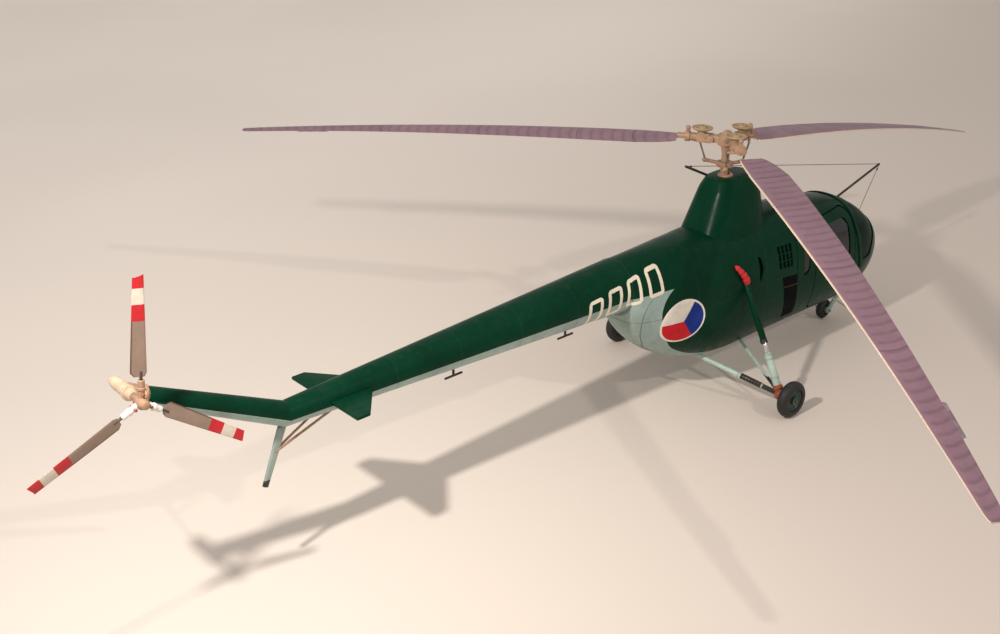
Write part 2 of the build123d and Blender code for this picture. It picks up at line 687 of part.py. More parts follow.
def build_main_rotor(parts):
    """Mast, head, dampers, grips, control links and three blades."""
    mast_low = -(HUB_Z - FAIRING_TOP_Z) - MAST_SEAT + 0.6
    mast = rod((0, 0, mast_low), (0, 0, -HUB_H / 2), MAST_R)
    mast += rod((0, 0, -HUB_H / 2 - 3.4), (0, 0, -HUB_H / 2), MAST_R, 2.2)
    hub = Cylinder(HUB_R, HUB_H)
    hub += Location((0, 0, HUB_H / 2)) * Cone(2.4, 1.2, 1.4, align=(Align.CENTER, Align.CENTER, Align.MIN))
    grips, dampers, links = [], [], []
    arm_width, arm_h = 3.6, 2.6
    for azimuth in BLADE_AZIMUTHS:
        arm = Location((FLAP_R / 2, 0, 0)) * Box(FLAP_R, arm_width, arm_h)
        pin = Location((FLAP_R, 0, 0), (90, 0, 0)) * Cylinder(1.35, arm_width + 2.6)
        hub += on_arm(arm + pin, azimuth)
        knuckle = Location((DRAG_R - 0.6, 0, 0)) * Box(2 * (DRAG_R - FLAP_R) - 2.0, 3.0, 3.4)
        grip = knuckle + rod((DRAG_R, 0, 0), (HORN_R, 0, 0), GRIP_R)
        grip += rod((HORN_R - 0.9, 0, 0), (HORN_R + 0.9, 0, 0), GRIP_R + 0.55)
        grip += rod((HORN_R, 0, 0), (BLADE_ROOT_R, 0, 0), SPAR_R)
        grip += rod((HORN_R, 0, 0.5), (HORN_R, 0, 3.1), 0.6)
        grip += Location((HORN_R, 0, 3.2)) * Sphere(0.95)
        horn = rod((HORN_R, 0, -1.0), (HORN_R - 4.4, -3.0, -2.2), 0.55)
        grip += horn
        grip -= Location((FLAP_R, 0, 0), (90, 0, 0)) * Cylinder(1.35 + FIT, arm_width + 2.6)
        stem = rod((DRAG_R, 0, 1.7), (DRAG_R, 0, DAMPER_Z), 1.5)
        disc = Location((DRAG_R, 0, DAMPER_Z)) * Cone(DAMPER_R * 0.8, DAMPER_R, 0.7, align=(Align.CENTER, Align.CENTER, Align.MIN))
        disc += Location((DRAG_R, 0, DAMPER_Z + 0.7)) * Cone(DAMPER_R, DAMPER_R * 0.55, 0.9, align=(Align.CENTER, Align.CENTER, Align.MIN))
        damper = stem + disc
        dampers.append(on_arm(damper, azimuth))
        grips.append(on_arm(longest(grip - damper), azimuth))
        link = rod((HORN_R - 4.4, -3.0, -2.6), (8.2, -2.6, SWASH_Z + 0.9), LINK_R)
        links.append(on_arm(link, azimuth))
    swash = Location((0, 0, SWASH_Z)) * Cylinder(SWASH_R, 1.8)
    swash -= rod((0, 0, SWASH_Z - 2), (0, 0, SWASH_Z + 2), MAST_R + FIT)
    for azimuth in BLADE_AZIMUTHS:
        arm = rod((SWASH_R - 0.6, -0.8, SWASH_Z), (8.2, -2.6, SWASH_Z + 0.2), 0.7)
        foot = Location((8.2, -2.6, SWASH_Z + 0.2)) * Sphere(0.95)
        swash += on_arm(arm + foot, azimuth)
    grips = group(grips)
    swash_solid = swash
    links = group(longest(link - grips - swash_solid) for link in links)
    parts["rotor_mast"] = in_rotor(mast)
    parts["rotor_hub"] = in_rotor(hub)
    parts["blade_grips"] = in_rotor(grips)
    parts["drag_dampers"] = in_rotor(group(dampers))
    parts["swashplate"] = in_rotor(swash_solid)
    parts["pitch_links"] = in_rotor(links)
    for number, (azimuth, droop) in enumerate(zip(BLADE_AZIMUTHS, BLADE_DROOPS), 1):
        parts[f"main_blade_{number}"] = in_rotor(on_arm(build_blade(droop), azimuth))


# ================================================================ tail rotor
def build_tail_rotor(parts):
    """Hub with its shaft and three short blades, turning about Y."""
    centre = Location(TAIL_HUB, (90, 0, 0))
    # In this local frame +X is forward, +Y is up and +Z is starboard.
    hub = Cylinder(2.5, 3.4)
    hub += Location((0, 0, 1.7)) * Cone(1.9, 1.2, 1.3, align=(Align.CENTER, Align.CENTER, Align.MIN))
    hub += rod((0, 0, -6.2), (0, 0, 0), TAIL_SHAFT_R)
    blades = []
    for number in range(3):
        azimuth = TAIL_AZIMUTH + 120 * number
        turn = Location((0, 0, 0), (0, 0, azimuth))
        grip = rod((1.5, 0, 0), (TAIL_ROOT_R - 0.8, 0, 0), 1.05)
        grip += rod((TAIL_ROOT_R - 2.4, 0, 0), (TAIL_ROOT_R - 0.8, 0, 0), 1.35)
        grip += rod((TAIL_ROOT_R - 1, 0, 0), (TAIL_ROOT_R, 0, 0), 0.5)
        hub += turn * grip
        sections = []
        for r in (TAIL_ROOT_R, TAIL_ROOT_R + 4, TAIL_ROTOR_R - 1.2, TAIL_ROTOR_R):
            share = (r - TAIL_ROOT_R) / (TAIL_ROTOR_R - TAIL_ROOT_R)
            chord = TAIL_ROOT_CHORD + share * (TAIL_TIP_CHORD - TAIL_ROOT_CHORD)
            if r > TAIL_ROTOR_R - 0.1:
                chord *= 0.8
            place = Location((r, 0, 0), (-TAIL_PITCH * (1 - 0.6 * share), 0, 0))
            sections.append(place * aerofoil(chord, max(0.13 * chord, 0.7), 0.35))
        blades.append(turn * loft(sections))
    parts["tail_rotor_hub"] = centre * hub
    parts["tail_blades"] = centre * group(blades)


# ================================================================ small outside pieces
def build_outside(parts, outer):
    """Aerial masts, tee aerials, exhaust covers and boarding steps."""
    front_root = at(FRONT_MAST_ROOT_X, AERIAL_Y, BROW_Z - 9)
    front = longest(rod(front_root, FRONT_MAST_TIP, AERIAL_R) - outer)
    rear_root = at(-8.0, AERIAL_Y * 0.8, FAIRING_TOP_Z - 5)
    rear = longest(rod(rear_root, REAR_MAST_TIP, AERIAL_R) - parts["gearbox_fairing"])
    parts["aerial_masts"] = group([front, rear])
    tees = []
    for x in TEE_XS:
        low = BOOM_Z - boom_radius_at(x)
        stem = rod((x, 0, low - TEE_DROP), (x, 0, low + 0.6), 0.45)
        stem -= rod((BOOM_JOINT_X, 0, BOOM_Z), (KINK_X, 0, BOOM_Z), BOOM_ROOT_R, KINK_R)
        bar = rod((x - TEE_SPAN / 2, 0, low - TEE_DROP), (x + TEE_SPAN / 2, 0, low - TEE_DROP), 0.4)
        tees.append(longest(stem + bar))
    parts["tee_aerials"] = group(tees)
    covers = []
    for side, _ in SIDES:
        low = at(-8.9, side * (half_width_at(-8.9, 46.7) + 1.5), 46.7)
        high = at(-14.5, side * (half_width_at(-14.5, 55.3) + 0.6), 55.3)
        cover = rod(low, high, 1.5, 1.0) + Location(low) * Sphere(1.5) + Location(high) * Sphere(1.0)
        covers.append(longest(cover - outer - parts["oleo_barrels"]))
    parts["exhaust_covers"] = group(covers)
    steps = []
    for side in (-1, 1):
        tip = at(69.0, side * 12.5, 10.5)
        step = Part()
        for root_x in (60.0, 74.0):
            step += rod((root_x, side * 8.5, BELLY_Z + 4), tip, 0.4)
        step += Location(tip) * Sphere(0.5)
        steps.append(longest(step - outer))
    parts["boarding_steps"] = group(steps)


def main():
    """Builds every piece and writes one STEP file for each."""
    parts = {}
    outer, hollow = build_fuselage(parts)
    build_cabin_inside(parts, hollow)
    build_fairing(parts, outer)
    build_tail(parts)
    build_main_gear(parts, outer)
    build_nose_gear(parts, outer)
    build_main_rotor(parts)
    build_tail_rotor(parts)
    build_outside(parts, outer)
    os.makedirs("parts", exist_ok=True)
    for name, shape in parts.items():
        export_step(shape, f"parts/{name}.step")
        print(name, len(shape.solids()), round(shape.volume, 1))


main()
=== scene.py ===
"""Looks of a scale model of a light helicopter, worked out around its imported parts.

Every length in this file is in millimetres of the model unless its name says otherwise, and Blender
gets metres. +X is forward, +Y is port, +Z is up, and the origin is on the floor under the middle of
the rotor head.
"""

import logging
import math
from collections.abc import Sequence
from dataclasses import dataclass
from enum import Enum
from typing import Protocol

import bmesh
import bpy
import numpy as np
from mathutils import Matrix, Vector


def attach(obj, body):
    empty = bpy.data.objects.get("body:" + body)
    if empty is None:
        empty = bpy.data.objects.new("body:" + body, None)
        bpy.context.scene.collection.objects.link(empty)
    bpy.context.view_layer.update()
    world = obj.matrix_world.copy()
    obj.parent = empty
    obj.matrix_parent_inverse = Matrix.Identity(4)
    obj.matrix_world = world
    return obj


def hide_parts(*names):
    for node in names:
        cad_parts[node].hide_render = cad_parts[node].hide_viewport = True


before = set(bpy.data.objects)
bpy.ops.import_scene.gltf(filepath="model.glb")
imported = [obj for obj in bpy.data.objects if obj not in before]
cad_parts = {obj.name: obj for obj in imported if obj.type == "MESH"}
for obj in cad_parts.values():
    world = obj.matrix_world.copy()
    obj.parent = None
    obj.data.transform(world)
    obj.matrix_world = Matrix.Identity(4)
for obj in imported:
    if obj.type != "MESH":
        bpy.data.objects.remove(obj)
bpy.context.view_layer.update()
MM = 0.001
TAU = 2.0 * math.pi
log = logging.getLogger("helicopter")

Array = np.ndarray
Point = Sequence[float]
Pair = tuple[float, float]
Triple = tuple[float, float, float]
Piece = bpy.types.Object
Tree = bpy.types.NodeTree
Material = bpy.types.Material


# ---------------------------------------------------------------- mathematics of the forms
def spline_values(knots: Array, values: Array, x: Array) -> Array:
    """Natural cubic spline through knots.

    The second derivatives m solve the tridiagonal system h0 m0 + 2 (h0 + h1) m1 + h1 m2 = 6 (s1 - s0),
    with s the slopes of the straight pieces and m zero at both ends.

    Args:
        knots: Rising places of the knots.
        values: The value at each knot.
        x: Places to work out.

    Returns:
        The spline's value at each place.
    """
    step = np.diff(knots)
    slope = np.diff(values) / step
    count = len(knots)
    system = np.eye(count)
    inner = np.arange(1, count - 1)
    system[inner, inner - 1] = step[:-1]
    system[inner, inner] = 2.0 * (step[:-1] + step[1:])
    system[inner, inner + 1] = step[1:]
    right = np.zeros(count)
    right[1:-1] = 6.0 * np.diff(slope)
    bend = np.linalg.solve(system, right)
    at = np.clip(np.searchsorted(knots, x) - 1, 0, count - 2)
    h = step[at]
    before, after = x - knots[at], knots[at + 1] - x
    cubic = (bend[at] * after**3 + bend[at + 1] * before**3) / (6.0 * h)
    line = (values[at] / h - bend[at] * h / 6.0) * after
    line = line + (values[at + 1] / h - bend[at + 1] * h / 6.0) * before
    return cubic + line


def unit(vector: Point) -> Array:
    """The vector scaled to length one."""
    v = np.asarray(vector, float)
    return v / np.linalg.norm(v)


def frame_about(axis: Point) -> tuple[Array, Array, Array]:
    """A right-handed frame whose third vector is the axis.

    Args:
        axis: Direction of the third vector.

    Returns:
        Two vectors across the axis, and the axis at length one.
    """
    w = unit(axis)
    guide = np.array((0.0, 0.0, 1.0)) if abs(w[2]) < 0.9 else np.array((1.0, 0.0, 0.0))
    u = unit(np.cross(guide, w))
    return u, np.cross(w, u), w


def signed_power(values: Array, power: float | Array) -> Array:
    """Each value's size raised to a power, with its sign kept."""
    return np.sign(values) * np.abs(values) ** power


def turned_about(points: Array, axis: Point, angle: float) -> Array:
    """Points turned about an axis k through the origin: p cos + (k x p) sin + k (k.p) (1 - cos).

    Args:
        points: Points in the last dimension.
        axis: The axis.
        angle: Radians.

    Returns:
        The turned points.
    """
    k = unit(axis)
    c, s = math.cos(angle), math.sin(angle)
    return points * c + np.cross(k, points) * s + k * (points @ k)[..., None] * (1.0 - c)


# ---------------------------------------------------------------- mesh making
class Ends(Enum):
    """How the two ends of a swept surface are finished."""

    FLAT = "flat"
    RING = "ring"


def new_object(name: str, data: bpy.types.ID) -> Piece:
    """Links a mesh, lamp or camera to the scene as an object at the origin."""
    piece = bpy.data.objects.new(name, data)
    bpy.context.scene.collection.objects.link(piece)
    return piece


def grid_faces(rows: int, columns: int, closed_rows: bool, closed_columns: bool) -> Array:
    """Quads of a grid of points numbered row by row.

    Args:
        rows: Number of rows.
        columns: Number of columns.
        closed_rows: Whether the last row joins the first.
        closed_columns: Whether the last column joins the first.

    Returns:
        Four point numbers for each quad.
    """
    r = np.arange(rows if closed_rows else rows - 1)[:, None]
    c = np.arange(columns if closed_columns else columns - 1)[None, :]
    r2, c2 = (r + 1) % rows, (c + 1) % columns
    corners = [r * columns + c, r * columns + c2, r2 * columns + c2, r2 * columns + c]
    return np.stack([np.broadcast_to(q, (r.shape[0], c.shape[1])) for q in corners], axis=-1).reshape(-1, 4)


def surface(
    name: str, grid: Array, ends: Ends = Ends.FLAT, uv: Array | None = None, sharp: float = 35.0
) -> Piece:
    """A closed piece from rings of points: each row of the grid is one closed ring.

    Args:
        name: The piece's name.
        grid: Points in millimetres, ring by ring.
        ends: FLAT closes the first and last ring with a face, and RING joins the last ring to the first.
        uv: A map coordinate for each point of the grid, with one more column than the grid.
        sharp: Edges that turn by more than this many degrees stay crisp.

    Returns:
        The new piece.
    """
    rows, columns = grid.shape[:2]
    points = grid.reshape(-1, 3) * MM
    faces = grid_faces(rows, columns, ends is Ends.RING, True)
    polygons = faces.tolist()
    if ends is Ends.FLAT:
        polygons.append(list(range(columns))[::-1])
        polygons.append([(rows - 1) * columns + c for c in range(columns)])
    mesh = bpy.data.meshes.new(name)
    mesh.from_pydata(points, [], polygons)
    if uv is not None:
        layer = mesh.uv_layers.new(name="Surface")
        rows_of, columns_of = np.divmod(faces, columns)
        last = columns - 1
        beside_last = (np.roll(columns_of, 1, axis=1) == last) | (np.roll(columns_of, -1, axis=1) == last)
        wraps = (columns_of == 0) & beside_last & (columns_of.max(axis=1, keepdims=True) == last)
        columns_of = np.where(wraps, columns, columns_of)
        values = np.zeros((len(mesh.loops), 2))
        values[: faces.size] = uv[rows_of, columns_of].reshape(-1, 2)
        layer.data.foreach_set("uv", values.ravel())
    piece = new_object(name, mesh)
    tidy_mesh(piece, sharp)
    return piece


def ring_shares(half: int) -> Array:
    """Shares of a chord round an aerofoil, out along its top and back below: (1 - cos(pi t)) / 2.

    Args:
        half: Steps on each side.

    Returns:
        The shares.
    """
    across = (1 - np.cos(math.pi * np.linspace(0.0, 1.0, half + 1))) / 2
    return np.concatenate([across, across[-2:0:-1]])


def map_of(along: Array, across: Array) -> Array:
    """The map of a blade's rings, with one more column than the rings have points.

    Args:
        along: The map's first coordinate, ring by ring.
        across: Its second one, point by point round a ring.

    Returns:
        The map's coordinates.
    """
    first = np.repeat(along[:, None], len(across) + 1, axis=1)
    return np.stack([first, np.tile(np.append(across, 0.0), (len(along), 1))], axis=-1)


def tidy_mesh(piece: Piece, sharp: float = 35.0) -> None:
    """Merges doubled points, turns the faces outwards and shades the piece smooth but for its sharp edges.

    Args:
        piece: The piece.
        sharp: Edges that turn by more than this many degrees stay crisp.
    """
    shape = bmesh.new()
    shape.from_mesh(piece.data)
    bmesh.ops.remove_doubles(shape, verts=shape.verts, dist=2e-7)
    bmesh.ops.recalc_face_normals(shape, faces=shape.faces)
    shape.to_mesh(piece.data)
    shape.free()
    shade(piece, sharp)
    piece.data.update()


def lathe_grid(profile: Array, origin: Point, axis: Point, sides: int = 48) -> Array:
    """Rings of a turned form: origin + along axis + radius (cos u + sin v).

    Args:
        profile: Pairs of distance along the axis and radius.
        origin: The point at distance nought.
        axis: The axis.
        sides: Points in each ring.

    Returns:
        The grid of points.
    """
    u, v, w = frame_about(axis)
    angle = np.linspace(0.0, TAU, sides, endpoint=False)
    across = np.cos(angle)[:, None] * u + np.sin(angle)[:, None] * v
    profile = np.asarray(profile, float)
    return np.asarray(origin, float) + profile[:, 0, None, None] * w + profile[:, 1, None, None] * across


def turned(
    name: str, profile: Sequence[Point], origin: Point, axis: Point, sides: int = 48, sharp: float = 35.0
) -> Piece:
    """A turned piece, closed by flat ends, from pairs of distance along the axis and radius."""
    return surface(name, lathe_grid(np.asarray(profile, float), origin, axis, sides), Ends.FLAT, sharp=sharp)


def turned_ring(
    name: str, profile: Sequence[Point], origin: Point, axis: Point, sides: int = 64, sharp: float = 35.0
) -> Piece:
    """A turned ring from a closed profile of distances along the axis and radii."""
    return surface(name, lathe_grid(np.asarray(profile, float), origin, axis, sides), Ends.RING, sharp=sharp)


def tube_grid(
    path: Array, radii: Array | float, sides: int = 20, flatten: float = 1.0, guide: Point = (0.0, 0.0, 1.0)
) -> Array:
    """Rings carried along a path: point + radius (cos n + sin b), with n the guide made square to the path.

    Args:
        path: Points of the path.
        radii: The radius at each point.
        sides: Points in each ring.
        flatten: Share of the radius that is kept along n.
        guide: Direction that n stays nearest to.

    Returns:
        The grid of points.
    """
    path = np.asarray(path, float)
    tangent = np.gradient(path, axis=0)
    tangent /= np.linalg.norm(tangent, axis=1, keepdims=True)
    normal = np.asarray(guide, float) - (tangent @ np.asarray(guide, float))[:, None] * tangent
    normal /= np.linalg.norm(normal, axis=1, keepdims=True)
    side = np.cross(tangent, normal)
    angle = np.linspace(0.0, TAU, sides, endpoint=False)
    radii = np.broadcast_to(np.asarray(radii, float), (len(path),))
    ring = flatten * np.cos(angle)[:, None] * normal[:, None] + np.sin(angle)[:, None] * side[:, None]
    return path[:, None] + radii[:, None, None] * ring


def rod(
    name: str,
    start: Point,
    end: Point,
    radius: float,
    end_radius: float | None = None,
    round_by: float = 0.12,
    sides: int = 24,
) -> Piece:
    """A straight rod with softened ends.

    Args:
        name: The piece's name.
        start: Middle of the first end.
        end: Middle of the last end.
        radius: Radius at the first end.
        end_radius: Radius at the last end, if it differs.
        round_by: How far the ends are softened.
        sides: Points around it.

    Returns:
        The new piece.
    """
    start, end = np.asarray(start, float), np.asarray(end, float)
    length = float(np.linalg.norm(end - start))
    last = radius if end_radius is None else end_radius
    soft = min(round_by, 0.4 * radius, 0.4 * last, 0.2 * length)
    profile = [(0, radius - soft), (soft * 0.3, radius - soft * 0.3), (soft, radius)]
    profile += [(length - soft, last), (length - soft * 0.3, last - soft * 0.3), (length, last - soft)]
    return turned(name, profile, start, end - start, sides)


def ball(
    name: str,
    centre: Point,
    radius: float,
    squash: float = 1.0,
    axis: Point = (0.0, 0.0, 1.0),
    sides: int = 24,
) -> Piece:
    """A ball, or a ball flattened along its axis: distance r cos t, radius r sin t.

    Args:
        name: The piece's name.
        centre: Its middle.
        radius: Its radius.
        squash: Its half length along the axis, as a share of the radius.
        axis: The axis.
        sides: Points round it.

    Returns:
        The new piece.
    """
    t = np.linspace(0.004, math.pi - 0.004, sides // 2 + 1)
    profile = np.stack([-np.cos(t) * radius * squash, np.sin(t) * radius], axis=1)
    return surface(name, lathe_grid(profile, centre, axis, sides))


def block(name: str, low: Point, high: Point, soften: float = 0.2, segments: int = 3) -> Piece:
    """A box with softened edges, its corners carried on a grid that is swept from low to high X.

    Args:
        name: The piece's name.
        low: Lowest corner.
        high: Highest corner.
        soften: Radius of its edges.
        segments: Steps of the edge rounding.

    Returns:
        The new piece.
    """
    x0, y0, z0 = low
    x1, y1, z1 = high
    ring = np.array([(x0, y0, z0), (x0, y1, z0), (x0, y1, z1), (x0, y0, z1)])
    grid = np.stack([ring, ring + (x1 - x0, 0, 0)])
    piece = surface(name, grid, Ends.FLAT)
    bevel(piece, soften, segments)
    return piece


def shade(piece: Piece, sharp: float) -> None:
    """Shades the piece smooth but for edges that turn by more than so many degrees."""
    piece.data.polygons.foreach_set("use_smooth", np.ones(len(piece.data.polygons), bool))
    piece.data.set_sharp_from_angle(angle=math.radians(sharp))


def bevel(piece: Piece, width: float, segments: int = 2, angle: float = 30.0) -> None:
    """Rounds the sharp edges of a piece and makes the result its mesh.

    Args:
        piece: The piece.
        width: How far the rounding reaches, in millimetres.
        segments: Steps of the rounding.
        angle: Edges that turn by more than this many degrees are rounded.
    """
    modifier = piece.modifiers.new("Softened edges", "BEVEL")
    modifier.width = width * MM
    modifier.segments = segments
    modifier.limit_method = "ANGLE"
    modifier.angle_limit = math.radians(angle)
    modifier.harden_normals = False
    apply_modifiers(piece)
    shade(piece, 40.0)


def apply_modifiers(piece: Piece) -> None:
    """Makes a piece's modified shape its mesh.

    Args:
        piece: The piece, which has no modifiers left afterwards.
    """
    bpy.context.view_layer.update()
    graph = bpy.context.evaluated_depsgraph_get()
    mesh = bpy.data.meshes.new_from_object(
        piece.evaluated_get(graph), preserve_all_data_layers=True, depsgraph=graph
    )
    piece.modifiers.clear()
    old = piece.data
    piece.data = mesh
    mesh.name = old.name
    bpy.data.meshes.remove(old)


def cut(piece: Piece, tool: Piece) -> None:
    """Takes a closed shape out of a piece, then removes that shape.

    Args:
        piece: The piece that changes.
        tool: The closed shape that is taken out of it.
    """
    modifier = piece.modifiers.new("Cut", "BOOLEAN")
    modifier.operation = "DIFFERENCE"
    modifier.object = tool
    modifier.solver = "EXACT"
    apply_modifiers(piece)
    mesh = tool.data
    bpy.data.objects.remove(tool)
    bpy.data.meshes.remove(mesh)


def joined(name: str, pieces: Sequence[Piece]) -> Piece:
    """Joins pieces to one, each keeping its own material and map.

    Args:
        name: Name of the joined piece.
        pieces: The pieces.

    Returns:
        The joined piece.
    """
    bpy.ops.object.select_all(action="DESELECT")
    for piece in pieces:
        piece.select_set(True)
    bpy.context.view_layer.objects.active = pieces[0]
    bpy.ops.object.join()
    whole = pieces[0]
    whole.name = name
    whole.data.name = name
    whole.select_set(False)
    return whole


def copy_of(node: str, name: str, soften: float = 0.0, sharp: float = 32.0) -> Piece:
    """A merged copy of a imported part, with cleaner faces and softened edges.

    Args:
        node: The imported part.
        name: Name of the copy.
        soften: Radius given to its sharp edges, in millimetres.
        sharp: Edges that turn by more than this many degrees stay crisp.

    Returns:
        The copy.
    """
    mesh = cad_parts[node].data.copy()
    mesh.materials.clear()
    if "custom_normal" in mesh.attributes:
        mesh.attributes.remove(mesh.attributes["custom_normal"])
    piece = new_object(name, mesh)
    shape = bmesh.new()
    shape.from_mesh(mesh)
    bmesh.ops.remove_doubles(shape, verts=shape.verts, dist=2e-7)
    bmesh.ops.dissolve_limit(shape, angle_limit=math.radians(1.0), verts=shape.verts, edges=shape.edges)
    bmesh.ops.recalc_face_normals(shape, faces=shape.faces)
    shape.to_mesh(mesh)
    shape.free()
    for layer in list(mesh.uv_layers):
        mesh.uv_layers.remove(layer)
    if soften:
        bevel(piece, soften, 2, 28.0)
    shade(piece, sharp)
    return piece


class Dressing(Protocol):
    """Anything that can give a material: a finish, the glazing or the floor."""

    def material(self) -> Material:
        """The material."""


def dress(piece: Piece, finish: Dressing) -> Piece:
    """Gives a whole piece one finish.

    Args:
        piece: The piece.
        finish: Its finish.

    Returns:
        The same piece.
    """
    piece.data.materials.clear()
    piece.data.materials.append(finish.material())
    piece.data.polygons.foreach_set("material_index", np.zeros(len(piece.data.polygons), np.int32))
    return piece


def place(piece: Piece, body: str, slot: str, stands_for: Sequence[str] = ()) -> Piece:
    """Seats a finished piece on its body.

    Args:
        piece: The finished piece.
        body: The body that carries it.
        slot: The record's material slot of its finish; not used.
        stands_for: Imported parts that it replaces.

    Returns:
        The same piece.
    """
    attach(piece, body)
    if stands_for:
        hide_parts(*stands_for)
    log.info("%s: %d faces on %s", piece.name, len(piece.data.polygons), body)
    return piece


# ---------------------------------------------------------------- the form of the body
@dataclass(frozen=True)
class BodyForm:
    """The fuselage as rings: y = w sgn(cos t)|cos t|^(2/p) and z = middle + h sgn(sin t)|sin t|^(2/p).

    The half width w, half height h, middle and squareness p run along X as natural cubic splines through the
    stations.
    """

    belly_start_x: float = -10.0
    boom_joint_x: float = -60.0
    half_width: float = 18.5
    belly_z: float = 13.5
    roof_z: float = 65.0
    boom_z: float = 54.9
    boom_root_r: float = 10.2
    nose_x: float = 97.0
    nose_z: float = 34.0
    nose_start_x: float = 62.0
    brow_z: float = 59.5
    cabin: tuple[tuple[float, ...], ...] = (
        (6.0, 13.5, 65.0, 18.5, 2.5), (34.0, 13.5, 63.625, 18.5, 2.5),
        (52.0, 13.5, 61.425, 18.5, 2.5),
    )

    def nose_station(self, share: float) -> tuple[float, ...]:
        """The nose's rings: z and w fall towards the tip as powers of 1 - share^n.

        Args:
            share: 0 where the nose starts and 1 at its tip.

        Returns:
            Place, lowest and highest point, half width and squareness.
        """
        x = self.nose_start_x + share * (self.nose_x - self.nose_start_x)
        high = self.nose_z + (self.brow_z - self.nose_z) * (1 - share**1.6) ** 0.75
        low = self.nose_z - (self.nose_z - self.belly_z) * (1 - share**2.3) ** 0.6
        wide = 0.97 * self.half_width * (1 - share**2.1) ** 0.55
        return x, low, high, wide, 2.5 - 0.4 * share

    def belly_station(self, share: float) -> tuple[float, ...]:
        """The belly's rings: the keel rises and the width shrinks to the boom as powers of the share.

        Args:
            share: 0 at the deepest ring and 1 at the boom.

        Returns:
            Place, lowest and highest point, half width and squareness.
        """
        x = self.belly_start_x + share * (self.boom_joint_x - self.belly_start_x)
        boom_low = self.boom_z - self.boom_root_r
        low = boom_low - (boom_low - self.belly_z) * (1 - share**1.9) ** 0.62
        high = self.roof_z + share * (self.boom_z + self.boom_root_r - self.roof_z)
        wide = self.boom_root_r + (0.98 * self.half_width - self.boom_root_r) * (1 - share**1.7)
        return x, low, high, wide, 2.5 - 0.5 * share

    def sizes_at(self, x: Array) -> Array:
        """The rings' sizes, by splines through the stations.

        Args:
            x: Places along the body.

        Returns:
            Lowest point, highest point, half width and squareness, one row each.
        """
        belly = [self.belly_station(share) for share in (1.0, 0.94, 0.84, 0.68, 0.48, 0.25, 0.0)]
        nose = [self.nose_station(share) for share in (0.15, 0.36, 0.57, 0.75, 0.88, 0.96, 0.995)]
        known = np.array(belly + list(self.cabin) + nose)
        return np.stack([spline_values(known[:, 0], known[:, i], np.asarray(x, float)) for i in range(1, 5)])

    def side_y(self, x: Array, z: Array) -> Array:
        """Half width of the skin: w (1 - |2 (z - low) / (high - low) - 1|^p)^(1/p).

        Args:
            x: Places along the body.
            z: Heights.

        Returns:
            The skin's distance from the middle plane.
        """
        low, high, wide, power = self.sizes_at(x)
        up = np.abs(2 * (z - low) / (high - low) - 1)
        return wide * np.clip(1 - up**power, 0, 1) ** (1 / power)

    def level(self, points: Array) -> Array:
        """The form's equation |y/w|^p + |(z - m)/h|^p.

        Args:
            points: Points, one a row.

        Returns:
            Its value at each point, which is 1 on the skin.
        """
        low, high, wide, power = self.sizes_at(points[:, 0])
        wide, tall = np.maximum(wide, 0.3), np.maximum((high - low) / 2, 0.2)
        across, up = np.abs(points[:, 1] / wide), np.abs((points[:, 2] - (high + low) / 2) / tall)
        return across**power + up**power

    def normals(self, points: Array) -> tuple[Array, Array]:
        """Outward normals, from the gradient of the form's equation by central differences.

        Args:
            points: Points on or near the skin, one a row.

        Returns:
            The normals, and each point's distance from the skin.
        """
        reach = 0.02
        steps = reach * np.eye(3)
        slope = [(self.level(points + s) - self.level(points - s)) / (2 * reach) for s in steps]
        slope = np.stack(slope, axis=1)
        size = np.maximum(np.linalg.norm(slope, axis=1), 1e-6)
        return slope / size[:, None], (self.level(points) - 1.0) / size


BODY = BodyForm()


def smooth_skin(piece: Piece, form: BodyForm = BODY, reach: float = 0.35) -> None:
    """Gives the faces that lie on the body's skin the exact normals of its form.

    Args:
        piece: A piece cut from the body.
        form: The body's form.
        reach: How far from the skin a corner may lie, in millimetres.
    """
    mesh = piece.data
    points = np.empty(len(mesh.vertices) * 3)
    mesh.vertices.foreach_get("co", points)
    points = points.reshape(-1, 3) / MM
    exact, distance = form.normals(points)
    vertex_of = np.empty(len(mesh.loops), np.int32)
    mesh.loops.foreach_get("vertex_index", vertex_of)
    sizes = np.empty(len(mesh.polygons), np.int32)
    mesh.polygons.foreach_get("loop_total", sizes)
    flat = np.empty(len(mesh.polygons) * 3)
    mesh.polygons.foreach_get("normal", flat)
    flat = np.repeat(flat.reshape(-1, 3), sizes, axis=0)
    own = np.empty(len(mesh.loops) * 3)
    mesh.corner_normals.foreach_get("vector", own)
    wanted = exact[vertex_of]
    near = (np.abs(distance[vertex_of]) < reach) & ((wanted * flat).sum(axis=1) > 0.86)
    normals = np.where(near[:, None], wanted, own.reshape(-1, 3))
    mesh.normals_split_custom_set(normals)


